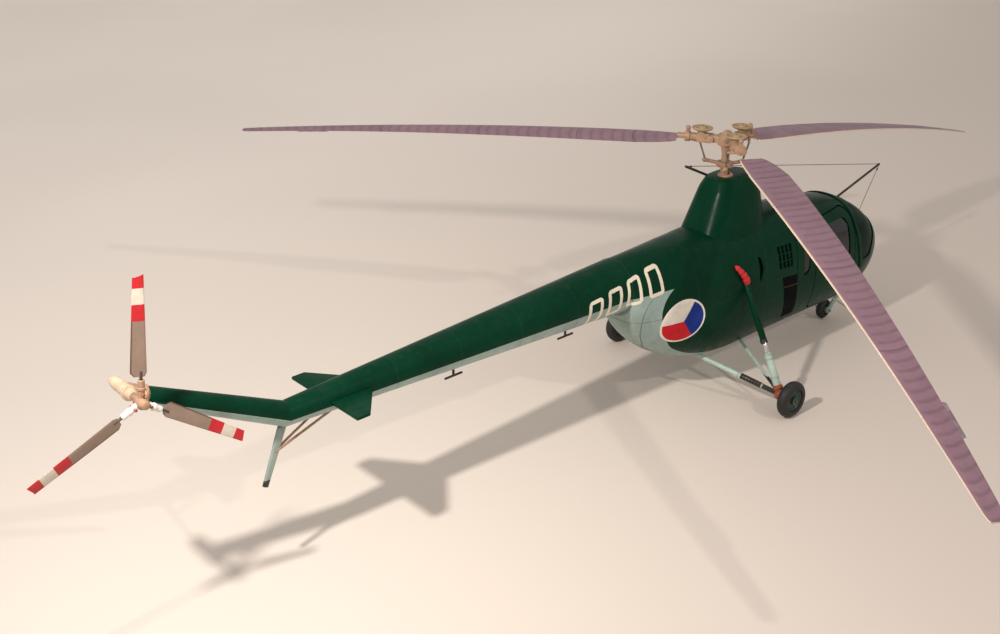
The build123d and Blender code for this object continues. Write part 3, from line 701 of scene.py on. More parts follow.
# ---------------------------------------------------------------- shading
class Term:
    """A value, vector or colour in a node tree, with the arithmetic that adds nodes to the tree."""

    def __init__(self, tree: Tree, socket: bpy.types.NodeSocket) -> None:
        """Keeps the tree and the output that carries the value."""
        self.tree, self.socket = tree, socket

    def math(self, operation: str, *others: "Term | float") -> "Term":
        """A Math node on this value and others.

        Args:
            operation: What the node does.
            others: The values of its further inputs.

        Returns:
            The node's output.
        """
        node = self.tree.nodes.new("ShaderNodeMath")
        node.operation = operation
        for socket, value in zip(node.inputs, (self, *others)):
            feed(self.tree, socket, value)
        return Term(self.tree, node.outputs[0])

    def __add__(self, other: "Term | float") -> "Term":
        """Sum."""
        return self.math("ADD", other)

    def __sub__(self, other: "Term | float") -> "Term":
        """Difference."""
        return self.math("SUBTRACT", other)

    def __mul__(self, other: "Term | float") -> "Term":
        """Product."""
        return self.math("MULTIPLY", other)

    def __truediv__(self, other: "Term | float") -> "Term":
        """Quotient."""
        return self.math("DIVIDE", other)

    def between(self, low: float, high: float) -> "Term":
        """1 where the value lies between two limits."""
        return self.math("GREATER_THAN", low) * self.math("LESS_THAN", high)

    def size(self) -> "Term":
        """The value without its sign."""
        return self.math("ABSOLUTE")

    def either(self, other: "Term | float") -> "Term":
        """The larger of two values."""
        return self.math("MAXIMUM", other)

    def both(self, other: "Term | float") -> "Term":
        """The smaller of two values."""
        return self.math("MINIMUM", other)

    def inverse(self) -> "Term":
        """One less the value, kept between nought and one.

        Returns:
            The new value.
        """
        term = Term(self.tree, self.socket).math("MULTIPLY_ADD", -1.0, 1.0)
        term.socket.node.use_clamp = True
        return term

    def ramp(self, low: float, high: float, start: float = 0.0, end: float = 1.0) -> "Term":
        """A smooth step of the value from one limit to the other.

        Args:
            low: Where it starts.
            high: Where it ends.
            start: Its value below the start.
            end: Its value beyond the end.

        Returns:
            The stepped value.
        """
        node = self.tree.nodes.new("ShaderNodeMapRange")
        node.interpolation_type = "SMOOTHSTEP"
        feed(self.tree, node.inputs["Value"], self)
        for name, value in zip(("From Min", "From Max", "To Min", "To Max"), (low, high, start, end)):
            node.inputs[name].default_value = value
        return Term(self.tree, node.outputs[0])

    def curve(self, points: Sequence[Point]) -> "Term":
        """The value sent through a smooth curve.

        Args:
            points: The curve's points, between nought and one both ways, with its two ends among them.

        Returns:
            The curve's height at the value.
        """
        node = self.tree.nodes.new("ShaderNodeFloatCurve")
        handles = node.mapping.curves[0].points
        for extra in points[2:]:
            handles.new(*extra)
        for handle, point in zip(handles, sorted(points)):
            handle.location = point
        node.mapping.update()
        feed(self.tree, node.inputs["Value"], self)
        return Term(self.tree, node.outputs[0])


def feed(tree: Tree, socket: bpy.types.NodeSocket, value: "Term | float | Point") -> None:
    """Links a term to an input, or sets the input's own value.

    Args:
        tree: The tree.
        socket: The input.
        value: A term of the tree, or a plain value.
    """
    if isinstance(value, Term):
        tree.links.new(value.socket, socket)
    else:
        socket.default_value = value


def material_of(name: str) -> tuple[bool, Material, Tree]:
    """Whether a material of this name was known already, the material, and its tree."""
    known = bpy.data.materials.get(name)
    made = known or bpy.data.materials.new(name)
    made.use_nodes = True
    return bool(known), made, made.node_tree


def coloured(colour: Point) -> tuple[float, ...]:
    """A colour with full opacity."""
    return (*colour, 1.0)


def mixed(share: Term, first: "Term | Point", second: "Term | Point") -> Term:
    """One colour that gives way to another.

    Args:
        share: 0 for the first and 1 for the second.
        first: The first colour.
        second: The second colour.

    Returns:
        The mixed colour.
    """
    node = share.tree.nodes.new("ShaderNodeMix")
    node.data_type = "RGBA"
    feed(share.tree, node.inputs[0], share)
    for socket, value in ((node.inputs[6], first), (node.inputs[7], second)):
        feed(share.tree, socket, value if isinstance(value, Term) else coloured(value))
    return Term(share.tree, node.outputs[2])


def object_place(tree: Tree) -> tuple[Term, Term, Term, Term]:
    """The shaded point in the piece's own space.

    Args:
        tree: The material's tree.

    Returns:
        The point as a vector in metres, and its X, Y and Z in millimetres.
    """
    place = Term(tree, tree.nodes.new("ShaderNodeTexCoord").outputs["Object"])
    split = tree.nodes.new("ShaderNodeSeparateXYZ")
    feed(tree, split.inputs[0], place)
    return place, *(Term(tree, out) * 1000.0 for out in split.outputs)


def noise(tree: Tree, vector: Term, scale: float, detail: float = 2.0) -> Term:
    """Fractal noise between nought and one.

    Args:
        tree: The tree.
        vector: Where it is read, in metres.
        scale: Grains in a metre.
        detail: Octaves.

    Returns:
        The noise.
    """
    node = tree.nodes.new("ShaderNodeTexNoise")
    feed(tree, node.inputs["Vector"], vector)
    node.inputs["Scale"].default_value = scale
    node.inputs["Detail"].default_value = detail
    return Term(tree, node.outputs["Fac"])


class Effect(Enum):
    """The effects that several finishes share, each built once as a node group."""

    GRAIN = "Paint grain"
    MOTTLE = "Mottled colour"
    # Sharp convex edges in another colour: partly wear, partly a painted edge highlight.
    EDGE_WEAR_AND_HIGHLIGHT = "Worn and highlighted edges"
    DUST = "Settled dust"
    SEAM = "Panel seam"


def new_group(kind: Effect, output: str, output_type: str, **inputs: str) -> tuple:
    """An empty node group with its sockets.

    Args:
        kind: The effect that it holds.
        output: Name of the output.
        output_type: Type of the output.
        inputs: Type of each input by its name, with _ for a blank.

    Returns:
        The tree, a term for each input by name, and the output's input socket.
    """
    tree = bpy.data.node_groups.new(kind.value, "ShaderNodeTree")
    names = {label.replace("_", " "): "NodeSocket" + label_type for label, label_type in inputs.items()}
    for label, label_type in names.items():
        tree.interface.new_socket(label, in_out="INPUT", socket_type=label_type)
    tree.interface.new_socket(output, in_out="OUTPUT", socket_type="NodeSocket" + output_type)
    entry, leave = tree.nodes.new("NodeGroupInput"), tree.nodes.new("NodeGroupOutput")
    return tree, {label: Term(tree, entry.outputs[label]) for label in names}, leave.inputs[0]


def grain_group() -> Tree:
    """Brushed paint: a bump from fine and coarse noise.

    Returns:
        The node group.
    """
    tree, given, out = new_group(
        Effect.GRAIN, "Normal", "Vector", Vector="Vector", Scale="Float", Depth="Float"
    )
    fine, coarse = noise(tree, given["Vector"], 900.0, 3.0), noise(tree, given["Vector"], 160.0, 2.0)
    fine_share, coarse_share = 1.0, 0.22
    for term, factor in ((fine, fine_share), (coarse, coarse_share)):
        feed(tree, term.socket.node.inputs["Scale"], given["Scale"] * factor)
    bump = tree.nodes.new("ShaderNodeBump")
    bump.inputs["Distance"].default_value = 0.0001
    feed(tree, bump.inputs["Strength"], given["Depth"])
    feed(tree, bump.inputs["Height"], fine + coarse * 1.6)
    tree.links.new(bump.outputs[0], out)
    return tree


def mottle_group() -> Tree:
    """A colour made patchy: lighter and darker by noise.

    Returns:
        The node group.
    """
    tree, given, out = new_group(
        Effect.MOTTLE, "Color", "Color", Vector="Vector", Color="Color", Amount="Float"
    )
    patch = noise(tree, given["Vector"], 70.0, 4.0) + noise(tree, given["Vector"], 480.0, 2.0) * 0.5 - 0.75
    shade = tree.nodes.new("ShaderNodeHueSaturation")
    feed(tree, shade.inputs["Value"], patch * given["Amount"] * 2.0 + 1.0)
    feed(tree, shade.inputs["Color"], given["Color"])
    tree.links.new(shade.outputs[0], out)
    return tree


def edge_wear_and_highlight_group() -> Tree:
    """A mask of sharply convex edges, broken up by noise: partly edge wear, partly a painted highlight along
    the edges.

    Returns:
        The node group.
    """
    tree, given, out = new_group(Effect.EDGE_WEAR_AND_HIGHLIGHT, "Mask", "Float", Vector="Vector", Amount="Float")
    point = Term(tree, tree.nodes.new("ShaderNodeNewGeometry").outputs["Pointiness"])
    mask = point.ramp(0.54, 0.62) * noise(tree, given["Vector"], 420.0, 3.0).ramp(0.4, 0.62)
    tree.links.new((mask * given["Amount"]).socket, out)
    return tree


def dust_group() -> Tree:
    """A mask of dust on what faces upwards, thicker in patches.

    Returns:
        The node group.
    """
    tree, given, out = new_group(Effect.DUST, "Mask", "Float", Vector="Vector", Amount="Float")
    split = tree.nodes.new("ShaderNodeSeparateXYZ")
    tree.links.new(tree.nodes.new("ShaderNodeNewGeometry").outputs["Normal"], split.inputs[0])
    upwards = Term(tree, split.outputs[2]).ramp(0.2, 1.0)
    mask = upwards * noise(tree, given["Vector"], 240.0, 4.0).ramp(0.45, 0.8)
    tree.links.new((mask * given["Amount"]).socket, out)
    return tree


def seam_group() -> Tree:
    """A mask of a thin line where a value is near a place.

    Returns:
        The node group.
    """
    tree, given, out = new_group(
        Effect.SEAM, "Mask", "Float", Value="Float", Place="Float", Half_width="Float"
    )
    off = (given["Value"] - given["Place"]).size() / given["Half width"]
    tree.links.new(off.ramp(0.6, 1.1).inverse().socket, out)
    return tree


MAKERS = {
    Effect.GRAIN: grain_group,
    Effect.MOTTLE: mottle_group,
    Effect.EDGE_WEAR_AND_HIGHLIGHT: edge_wear_and_highlight_group,
    Effect.DUST: dust_group,
    Effect.SEAM: seam_group,
}


def effect(tree: Tree, kind: Effect, **inputs: "Term | float | Point") -> Term:
    """Adds a shared effect to a tree.

    Args:
        tree: The material's tree.
        kind: Which effect.
        inputs: Values for its inputs, with _ for a blank in their names.

    Returns:
        The effect's output.
    """
    node = tree.nodes.new("ShaderNodeGroup")
    node.node_tree = bpy.data.node_groups.get(kind.value) or MAKERS[kind]()
    for name, value in inputs.items():
        feed(tree, node.inputs[name.replace("_", " ")], value)
    return Term(tree, node.outputs[0])


DUST_COLOUR = (0.5, 0.46, 0.4)
COAT_ROUGHNESS = 0.12


@dataclass(frozen=True)
class Finish:
    """A painted surface: its colour, the colour its sharp edges take (partly wear, partly a painted edge
    highlight), and how it is dusted and brushed.
    """

    name: str
    colour: Triple
    roughness: float = 0.45
    mottle: float = 0.25
    grain: float = 0.25
    grain_scale: float = 900.0
    # Share and colour of the sharp convex edges: partly wear, partly a painted edge highlight, lighter on
    # most finishes.
    edge_wear_and_highlight: float = 0.25
    edge_wear_and_highlight_colour: Triple = (0.55, 0.55, 0.5)
    dust: float = 0.12
    coat: float = 0.0
    metallic: float = 0.0
    specular: float = 0.5

    def colour_term(self, tree: Tree) -> Term | Point:
        """The paint's own colour before edge wear and the painted edge highlight; finishes with markings
        build on this.
        """
        return coloured(self.colour)

    def material(self) -> Material:
        """The finish as a material, made at its first use.

        Returns:
            The material.
        """
        known, made, tree = material_of(self.name)
        if known:
            return made
        shader = tree.nodes["Principled BSDF"]
        place = object_place(tree)[0]
        colour = effect(tree, Effect.MOTTLE, Vector=place, Color=self.colour_term(tree), Amount=self.mottle)
        # Sharp convex edges take the edge colour: partly wear, partly a painted highlight.
        edge_wear_and_highlight_mask = effect(tree, Effect.EDGE_WEAR_AND_HIGHLIGHT, Vector=place, Amount=self.edge_wear_and_highlight)
        colour = mixed(edge_wear_and_highlight_mask, colour, self.edge_wear_and_highlight_colour)
        dust = effect(tree, Effect.DUST, Vector=place, Amount=self.dust)
        colour = mixed(dust, colour, DUST_COLOUR)
        feed(tree, shader.inputs["Base Color"], colour)
        rough = noise(tree, place, 130.0, 3.0).ramp(0.3, 0.7, self.roughness - 0.05, self.roughness + 0.07)
        feed(tree, shader.inputs["Roughness"], rough + dust * 0.5)
        for label, value in (
            ("Coat Weight", self.coat), ("Coat Roughness", COAT_ROUGHNESS),
            ("Metallic", self.metallic), ("Specular IOR Level", self.specular),
        ):
            shader.inputs[label].default_value = value
        bump = effect(tree, Effect.GRAIN, Vector=place, Scale=self.grain_scale, Depth=self.grain)
        feed(tree, shader.inputs["Normal"], bump)
        return made


@dataclass(frozen=True)
class BodyPaint(Finish):
    """Dark green above pale blue-grey, with a roundel and plain figures, laid on by place on the body.

    The green ends along z = boundary + slope x on the boom, rises with the raised end behind the kink,
    and ends on the pod along a curve x(z) behind which it is pale.
    """

    pale: Triple = (0.30, 0.39, 0.36)
    boundary: float = 51.8
    slope: float = -0.01082
    kink_x: float = -199.5
    raised_slope: float = 0.503
    edge: tuple[Pair, ...] = (
        (12.0, 50.0), (15.0, 30.0), (16.5, 0.0), (18.8, -22.9), (24.3, -36.4), (30.1, -42.5),
        (41.4, -47.4), (47.3, -46.7), (50.3, -44.5), (53.0, -40.8),
    )
    roundel: Pair = (-37.7, 38.2)
    roundel_size: Pair = (9.9, 8.9)
    figures: tuple[Pair, ...] = ((-77.6, 52.2), (-68.4, 53.8), (-59.2, 55.2), (-49.6, 56.6))
    figure_size: Pair = (3.3, 5.2)
    figure_corner: float = 1.5
    figure_inset: float = 0.62
    figure_stroke: float = 0.68
    figure_lean: Pair = (0.02, 0.1)
    marking: Triple = (0.78, 0.72, 0.58)
    edge_span: Pair = (-60.0, 60.0)
    pod_span: Pair = (-59.6, 27.0)
    frames: tuple[Pair, ...] = ((-59.9, 0.25), (-31.0, 0.16), (6.2, 0.16))
    waist_z: float = 41.5
    waist_half: float = 0.16
    boom_frames: tuple[float, ...] = (-86.0, -111.0, -136.0, -161.0)
    boom_frame_half: float = 0.15
    trailing_seam: Pair = (-7.5, 0.22)
    trailing_span: Pair = (24.0, 51.0)
    seam_colour: Triple = (0.02, 0.05, 0.04)
    disc_white: Triple = (0.8, 0.74, 0.66)
    disc_red: Triple = (0.62, 0.02, 0.03)
    disc_blue: Triple = (0.015, 0.04, 0.25)
    disc_rim: Triple = (0.85, 0.8, 0.7)
    rim_share: float = 0.92

    def colour_term(self, tree: Tree) -> Term:
        """Green, pale, figures and roundel, one over the other.

        Args:
            tree: The material's tree.

        Returns:
            The colour.
        """
        _, x, y, z = object_place(tree)
        low_z, high_z = self.edge[0][0], self.edge[-1][0]
        low_x, high_x = self.edge_span
        share = (z - low_z) / (high_z - low_z)
        handles = [((a - low_z) / (high_z - low_z), (b - low_x) / (high_x - low_x)) for a, b in self.edge]
        edge_x = share.curve(handles) * (high_x - low_x) + low_x
        raised = (x * -1.0 + self.kink_x).either(0.0) * self.raised_slope
        below = (z - x * self.slope - raised).math("LESS_THAN", self.boundary)
        behind = (x - edge_x).math("LESS_THAN", 0.0)
        pale = (below * behind).either(z.math("LESS_THAN", low_z))
        colour = mixed(pale, self.colour, self.pale)
        colour = mixed(self.seams(tree, x, z, edge_x) * 0.5, colour, self.seam_colour)
        colour = mixed(self.figures_mask(x, y, z), colour, self.marking)
        return self.with_roundel(colour, x, y, z)

    def seams(self, tree: Tree, x: Term, z: Term, edge_x: Term) -> Term:
        """The thin lines of the panels' joints.

        Args:
            tree: The material's tree.
            x: Place along the body.
            z: Height.
            edge_x: Place of the pod's colour edge at this height.

        Returns:
            Their mask.
        """
        place, half = self.trailing_seam
        lines = effect(tree, Effect.SEAM, Value=x - edge_x, Place=place, Half_width=half)
        lines = lines * z.between(*self.trailing_span)
        for place, half in self.frames:
            lines = lines.either(effect(tree, Effect.SEAM, Value=x, Place=place, Half_width=half))
        waist = effect(tree, Effect.SEAM, Value=z, Place=self.waist_z, Half_width=self.waist_half)
        lines = lines.either(waist * x.between(*self.pod_span))
        for place in self.boom_frames:
            ring = effect(tree, Effect.SEAM, Value=x, Place=place, Half_width=self.boom_frame_half)
            lines = lines.either(ring)
        return lines

    def figures_mask(self, x: Term, y: Term, z: Term) -> Term:
        """Rounded noughts: the distance from a rounded oblong's outline is less than half a stroke.

        Args:
            x: Place along the body.
            y: Place across it.
            z: Height.

        Returns:
            Their mask.
        """
        mask = None
        corner_r, lean = self.figure_corner, self.figure_lean
        wide, tall = self.figure_size
        for middle_x, middle_z in self.figures:
            across = (x - middle_x - (z - middle_z) * lean[0]).size() - (wide - corner_r)
            up = (z - middle_z - (x - middle_x) * lean[1]).size() - (tall - corner_r)
            square = across.either(0.0).math("POWER", 2.0) + up.either(0.0).math("POWER", 2.0)
            off = square.math("SQRT") + across.either(up).both(0.0) - corner_r + self.figure_inset
            stroke = off.size().math("LESS_THAN", self.figure_stroke)
            mask = stroke if mask is None else mask.either(stroke)
        return mask * (y.size().math("GREATER_THAN", 1.0))

    def with_roundel(self, under: Term, x: Term, y: Term, z: Term) -> Term:
        """A disc of three equal fields with a pale rim.

        Args:
            under: The colour that it is laid on.
            x: Place along the body.
            y: Place across it.
            z: Height.

        Returns:
            The colour with the disc.
        """
        across = (x - self.roundel[0]) / self.roundel_size[0]
        up = (z - self.roundel[1]) / self.roundel_size[1]
        radius = (across * across + up * up).math("SQRT")
        angle = up.math("ARCTAN2", across)
        red = angle.math("LESS_THAN", -math.pi / 3)
        blue = angle.size().math("LESS_THAN", math.pi / 3)
        fields = mixed(blue, mixed(red, self.disc_white, self.disc_red), self.disc_blue)
        fields = mixed(radius.math("GREATER_THAN", self.rim_share), fields, self.disc_rim)
        return mixed(radius.math("LESS_THAN", 1.0) * y.size().math("GREATER_THAN", 1.0), under, fields)


BLADE_MAP = 200.0
TAIL_BLADE_MAP = 40.0


def own_map(tree: Tree) -> tuple[Term, Term]:
    """The piece's own map.

    Args:
        tree: The material's tree.

    Returns:
        Its place along the piece and its place across it.
    """
    split = tree.nodes.new("ShaderNodeSeparateXYZ")
    tree.links.new(tree.nodes.new("ShaderNodeUVMap").outputs[0], split.inputs[0])
    along, across = (Term(tree, out) for out in split.outputs[:2])
    return along, across


@dataclass(frozen=True)
class BladePaint(Finish):
    """Fabric-covered blade: rib lines across it and darker joints, by its own map along and across it."""

    rib: float = 4.2
    joints: tuple[float, ...] = (36.0, 58.0, 98.0, 140.0)
    edge_colour: Triple = (0.80, 0.62, 0.46)
    joint_colour: Triple = (0.10, 0.06, 0.09)

    def colour_term(self, tree: Tree) -> Term:
        """Mauve with darker rib lines and a cream leading edge.

        Args:
            tree: The material's tree.

        Returns:
            The colour.
        """
        along, across = own_map(tree)
        along = along * BLADE_MAP
        bow = (across - 0.35) * (across - 0.35) * 5.0
        wave = ((along + bow) / self.rib).math("FRACT") - 0.5
        lines = wave.size().ramp(0.0, 0.3).inverse() * across.ramp(0.08, 0.25) * 0.42
        colour = mixed(lines, self.colour, tuple(0.45 * c for c in self.colour))
        for joint in self.joints:
            seam = effect(tree, Effect.SEAM, Value=along + bow, Place=joint, Half_width=0.4)
            colour = mixed(seam * 0.6, colour, self.joint_colour)
        return mixed(across.ramp(0.015, 0.06).inverse(), colour, self.edge_colour)


@dataclass(frozen=True)
class BandedPaint(Finish):
    """A tail blade: plain with red, white and red bands at its tip, by the map that runs along it."""

    bands: tuple[tuple[float, float, Triple], ...] = (
        (23.0, 27.6, (0.52, 0.013, 0.02)), (27.6, 32.0, (0.64, 0.58, 0.49)),
        (32.0, 40.0, (0.52, 0.013, 0.02)),
    )
    rim_colour: Triple = (0.10, 0.05, 0.03)

    def colour_term(self, tree: Tree) -> Term:
        """The bands over the plain colour, with a darker rim.

        Args:
            tree: The material's tree.

        Returns:
            The colour.
        """
        along, across = own_map(tree)
        along = along * TAIL_BLADE_MAP
        colour = mixed(across.ramp(0.85, 0.98), self.colour, self.rim_colour)
        for start, end, band in self.bands:
            colour = mixed(along.between(start, end), colour, band)
        return colour


@dataclass(frozen=True)
class ZonedPaint(Finish):
    """A paint that changes to another one below or beyond a place along one direction."""

    second: Triple = (0.01, 0.01, 0.01)
    axis: int = 2
    low: float = 0.0
    high: float = 10.0

    def colour_term(self, tree: Tree) -> Term:
        """The second colour between the two places."""
        return mixed(
            object_place(tree)[1 + self.axis].between(self.low, self.high), self.colour, self.second
        )


@dataclass(frozen=True)
class Glazing:
    """A clear pane: see-through with a tint, and mirror-like towards grazing angles."""

    name: str = "Clear panes"
    tint: Triple = (0.30, 0.46, 0.43)
    roughness: float = 0.04
    mirror: Triple = (0.9, 0.95, 0.95)
    refraction: float = 1.5

    def material(self) -> Material:
        """The glazing as a material, made at its first use.

        Returns:
            The material.
        """
        known, made, tree = material_of(self.name)
        if known:
            return made
        tree.nodes.remove(tree.nodes["Principled BSDF"])
        clear, mirror = tree.nodes.new("ShaderNodeBsdfTransparent"), tree.nodes.new("ShaderNodeBsdfGlossy")
        clear.inputs["Color"].default_value = coloured(self.tint)
        mirror.inputs["Color"].default_value = coloured(self.mirror)
        place = object_place(tree)[0]
        smear = noise(tree, place, 60.0, 3.0).ramp(0.35, 0.75, self.roughness, self.roughness + 0.1)
        feed(tree, mirror.inputs["Roughness"], smear)
        edge = tree.nodes.new("ShaderNodeFresnel")
        edge.inputs["IOR"].default_value = self.refraction
        blend = tree.nodes.new("ShaderNodeMixShader")
        feed(tree, blend.inputs[0], Term(tree, edge.outputs[0]) + 0.02)
        tree.links.new(clear.outputs[0], blend.inputs[1])
        tree.links.new(mirror.outputs[0], blend.inputs[2])
        tree.links.new(blend.outputs[0], tree.nodes["Material Output"].inputs["Surface"])
        return made


# ---------------------------------------------------------------- finishes of the model
GREEN = (0.0018, 0.032, 0.015)
BODY_PAINT = BodyPaint(
    "Body paint", GREEN, 0.27, 0.35, 0.16, 1500.0, 0.1, (0.05, 0.10, 0.06), 0.01, 0.0, specular=0.07
)
GREEN_PAINT = Finish(
    "Dark green paint", GREEN, 0.28, 0.35, 0.16, 1500.0, 0.1, (0.05, 0.10, 0.06), 0.01, 0.0, specular=0.07
)
PALE_PAINT = Finish("Pale grey-green paint", (0.31, 0.42, 0.36), 0.38, 0.3, 0.3)
TAN_PAINT = Finish("Sand paint", (0.37, 0.225, 0.14), 0.5, 0.6, 0.4, 1200.0, 0.6, (0.16, 0.07, 0.04), 0.06)
CREAM_PAINT = Finish(
    "Cream paint", (0.62, 0.47, 0.33), 0.45, 0.4, 0.3, 1200.0, 0.3, (0.25, 0.13, 0.08), 0.04
)
CUFF_PAINT = Finish("White cuff paint", (0.72, 0.70, 0.66), 0.42, 0.3, 0.3)
TAB_PAINT = Finish("Trim tab paint", (0.19, 0.115, 0.15), 0.45, 0.25, 0.3)
OLIVE_PAINT = Finish(
    "Olive damper paint", (0.35, 0.25, 0.135), 0.5, 0.5, 0.4, 1200.0, 0.5, (0.5, 0.38, 0.25), 0.06
)
LINK_PAINT = Finish("Dark link paint", (0.07, 0.045, 0.035), 0.45, 0.4)
RUST_PAINT = Finish("Rust-red primer", (0.30, 0.06, 0.02), 0.55, 0.6, 0.4)
STEEL = Finish("Polished steel", (0.72, 0.72, 0.70), 0.18, 0.1, 0.1, metallic=1.0, dust=0.05)
RUBBER = Finish("Tyre rubber", (0.016, 0.014, 0.014), 0.62, 0.5, 0.6, 800.0, 0.3, (0.06, 0.05, 0.045), 0.08)
WHEEL_PAINT = Finish("Wheel disc paint", (0.018, 0.06, 0.042), 0.38, 0.4, 0.3)
BLACK_PAINT = Finish("Black-brown paint", (0.020, 0.014, 0.012), 0.42, 0.4, 0.3)
# Near-black painted shade, laid behind the slots, scoops and louvres where their insides fall in shade.
GRILLE_PAINTED_SHADE = Finish(
    "Grille painted shade", (0.0025, 0.003, 0.004), 0.6, 0.1, 0.1, 900.0, 0.0, (0.02, 0.02, 0.02), 0.0, 0.0,
    specular=0.04,
)
LOUVRE_BROWN = Finish(
    "Louvre brown", (0.045, 0.022, 0.010), 0.5, 0.3, 0.2, 900.0, 0.1, (0.02, 0.02, 0.02), 0.0, 0.0,
    specular=0.1,
)
RED_CLOTH = Finish("Red cover cloth", (0.60, 0.018, 0.02), 0.6, 0.5, 0.9, 500.0, 0.0)
CABIN_PAINT = Finish("Cabin grey paint", (0.10, 0.10, 0.095), 0.55, 0.4, 0.5)
LEATHER = Finish("Brown seat leather", (0.13, 0.055, 0.03), 0.48, 0.5, 0.9, 420.0, 0.0)
DIAL = Finish("Instrument faces", (0.5, 0.5, 0.46), 0.3, 0.3, 0.2)
WIRE = Finish("Aerial wire", (0.05, 0.035, 0.03), 0.4, 0.2, 0.2)
STAY_PAINT = ZonedPaint("Stay paint", (0.40, 0.53, 0.46), 0.38, 0.3, 0.3)
SKID_PAINT = ZonedPaint(
    "Skid paint", (0.27, 0.33, 0.30), 0.3, 0.3, 0.2, second=(0.015, 0.02, 0.012), low=0.0, high=35.2
)
BLADE_PAINT = BladePaint("Blade fabric", (0.262, 0.148, 0.19), 0.42, 0.22, 0.35, 900.0, 0.0, dust=0.03)
TAIL_BLADE_PAINT = BandedPaint(
    "Tail blade paint", (0.27, 0.19, 0.145), 0.42, 0.3, 0.35, 900.0, 0.0, dust=0.03
)
PANES = Glazing()
NOSE_PANES = Glazing("Nose panes", (0.04, 0.12, 0.09), 0.06, (0.22, 0.34, 0.29))


# ---------------------------------------------------------------- sub-assemblies
@dataclass(frozen=True)
class Copied:
    """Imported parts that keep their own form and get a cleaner, softened surface and a finish."""

    nodes: tuple[str, ...]
    body: str
    slot: str
    finish: Finish | Glazing
    soften: float = 0.0
    skin: bool = False

    def build(self) -> list[Piece]:
        """Copies, softens and dresses each part.

        Returns:
            The new pieces.
        """
        made = []
        for node in self.nodes:
            piece = dress(copy_of(node, node + "_dressed", self.soften), self.finish)
            if self.skin:
                smooth_skin(piece)
            made.append(place(piece, self.body, self.slot, (node,)))
        return made


COPIES = (
    Copied(("cabin_shell", "engine_bay"), "airframe", "green_gloss", BODY_PAINT, skin=True),
    Copied(("door_right",), "door_right_leaf", "green_gloss", BODY_PAINT, skin=True),
    Copied(("door_left",), "door_left_leaf", "green_gloss", BODY_PAINT, skin=True),
    Copied(("windscreen",), "airframe", "window_clear", NOSE_PANES, skin=True),
    Copied(("quarter_windows",), "airframe", "window_clear", PANES, skin=True),
    Copied(("door_window_right",), "door_right_leaf", "window_clear", PANES, skin=True),
    Copied(("door_window_left",), "door_left_leaf", "window_clear", PANES, skin=True),
    Copied(("stabilizers",), "airframe", "green_gloss", GREEN_PAINT, 0.12),
    Copied(("tail_skid",), "airframe", "skid_grey", SKID_PAINT, 0.15),
    Copied(("skid_braces",), "airframe", "tan", TAN_PAINT),
    Copied(("tee_aerials",), "airframe", "black", BLACK_PAINT, 0.06),
    Copied(("control_stick",), "airframe", "black", BLACK_PAINT, 0.1),
    Copied(("cabin_floor", "instrument_panel"), "airframe", "cabin_grey", CABIN_PAINT, 0.12),
    Copied(("main_axles",), "airframe", "strut_mint", RUST_PAINT, 0.2),
    Copied(("nose_leg", "boarding_steps"), "airframe", "strut_mint", PALE_PAINT, 0.08),
    Copied(("nose_fork",), "nose_caster", "strut_mint", PALE_PAINT, 0.12),
    Copied(("rotor_hub", "blade_grips", "rotor_mast", "swashplate"), "main_rotor", "tan", TAN_PAINT, 0.12),
    Copied(("pitch_links",), "main_rotor", "link_dark", LINK_PAINT),
)


@dataclass(frozen=True)
class Fairing:
    """The gearbox housing: level rounded oblongs joined by slanting sides, a sloping rim and a flat top."""

    rings: tuple[tuple[float, ...], ...] = (
        (60.0, -19.0, 17.65, 12.25), (77.9, -10.1, 14.8, 8.88), (79.0, -9.5, 14.45, 8.6),
        (80.0, -8.9, 14.0, 8.15), (82.2, -7.6, 12.7, 6.9), (82.65, -7.2, 12.3, 6.55),
        (82.8, -6.6, 11.7, 6.0),
    )
    squareness: float = 2.9
    sides: int = 120
    shoulder: Pair = (77.5, 78.0)
    collar: tuple[Point, ...] = ((0, 2.6), (0, 3.0), (0.55, 2.9), (0.8, 2.2), (0.8, 1.7), (0, 1.7))
    collar_at: Point = (0, 0, 82.7)

    def build(self) -> None:
        """Builds the housing, |x/a|^n + |y/b|^n = 1 at each height, and the collar round the mast."""
        rings = np.array(self.rings)
        low, high = np.linspace(rings[0, 0], self.shoulder[0], 10), np.linspace(
            self.shoulder[1], rings[-1, 0], 20
        )
        fine = np.concatenate([low, high])
        rear, front, half = (np.interp(fine, rings[:, 0], rings[:, i]) for i in range(1, 4))
        angle = np.linspace(0.0, TAU, self.sides, endpoint=False)
        c, s = np.cos(angle), np.sin(angle)
        e = 2 / self.squareness
        x = ((front + rear) / 2)[:, None] + ((front - rear) / 2)[:, None] * signed_power(c, e)
        y = half[:, None] * signed_power(s, e)
        grid = np.stack([x, y, np.broadcast_to(fine[:, None], x.shape)], axis=-1)
        hood = dress(surface("gearbox_housing", grid, sharp=24.0), GREEN_PAINT)
        place(hood, "airframe", "green_gloss", ("gearbox_fairing",))
        collar = turned("mast_collar", self.collar, self.collar_at, (0, 0, 1))
        place(dress(collar, TAN_PAINT), "airframe", "tan")


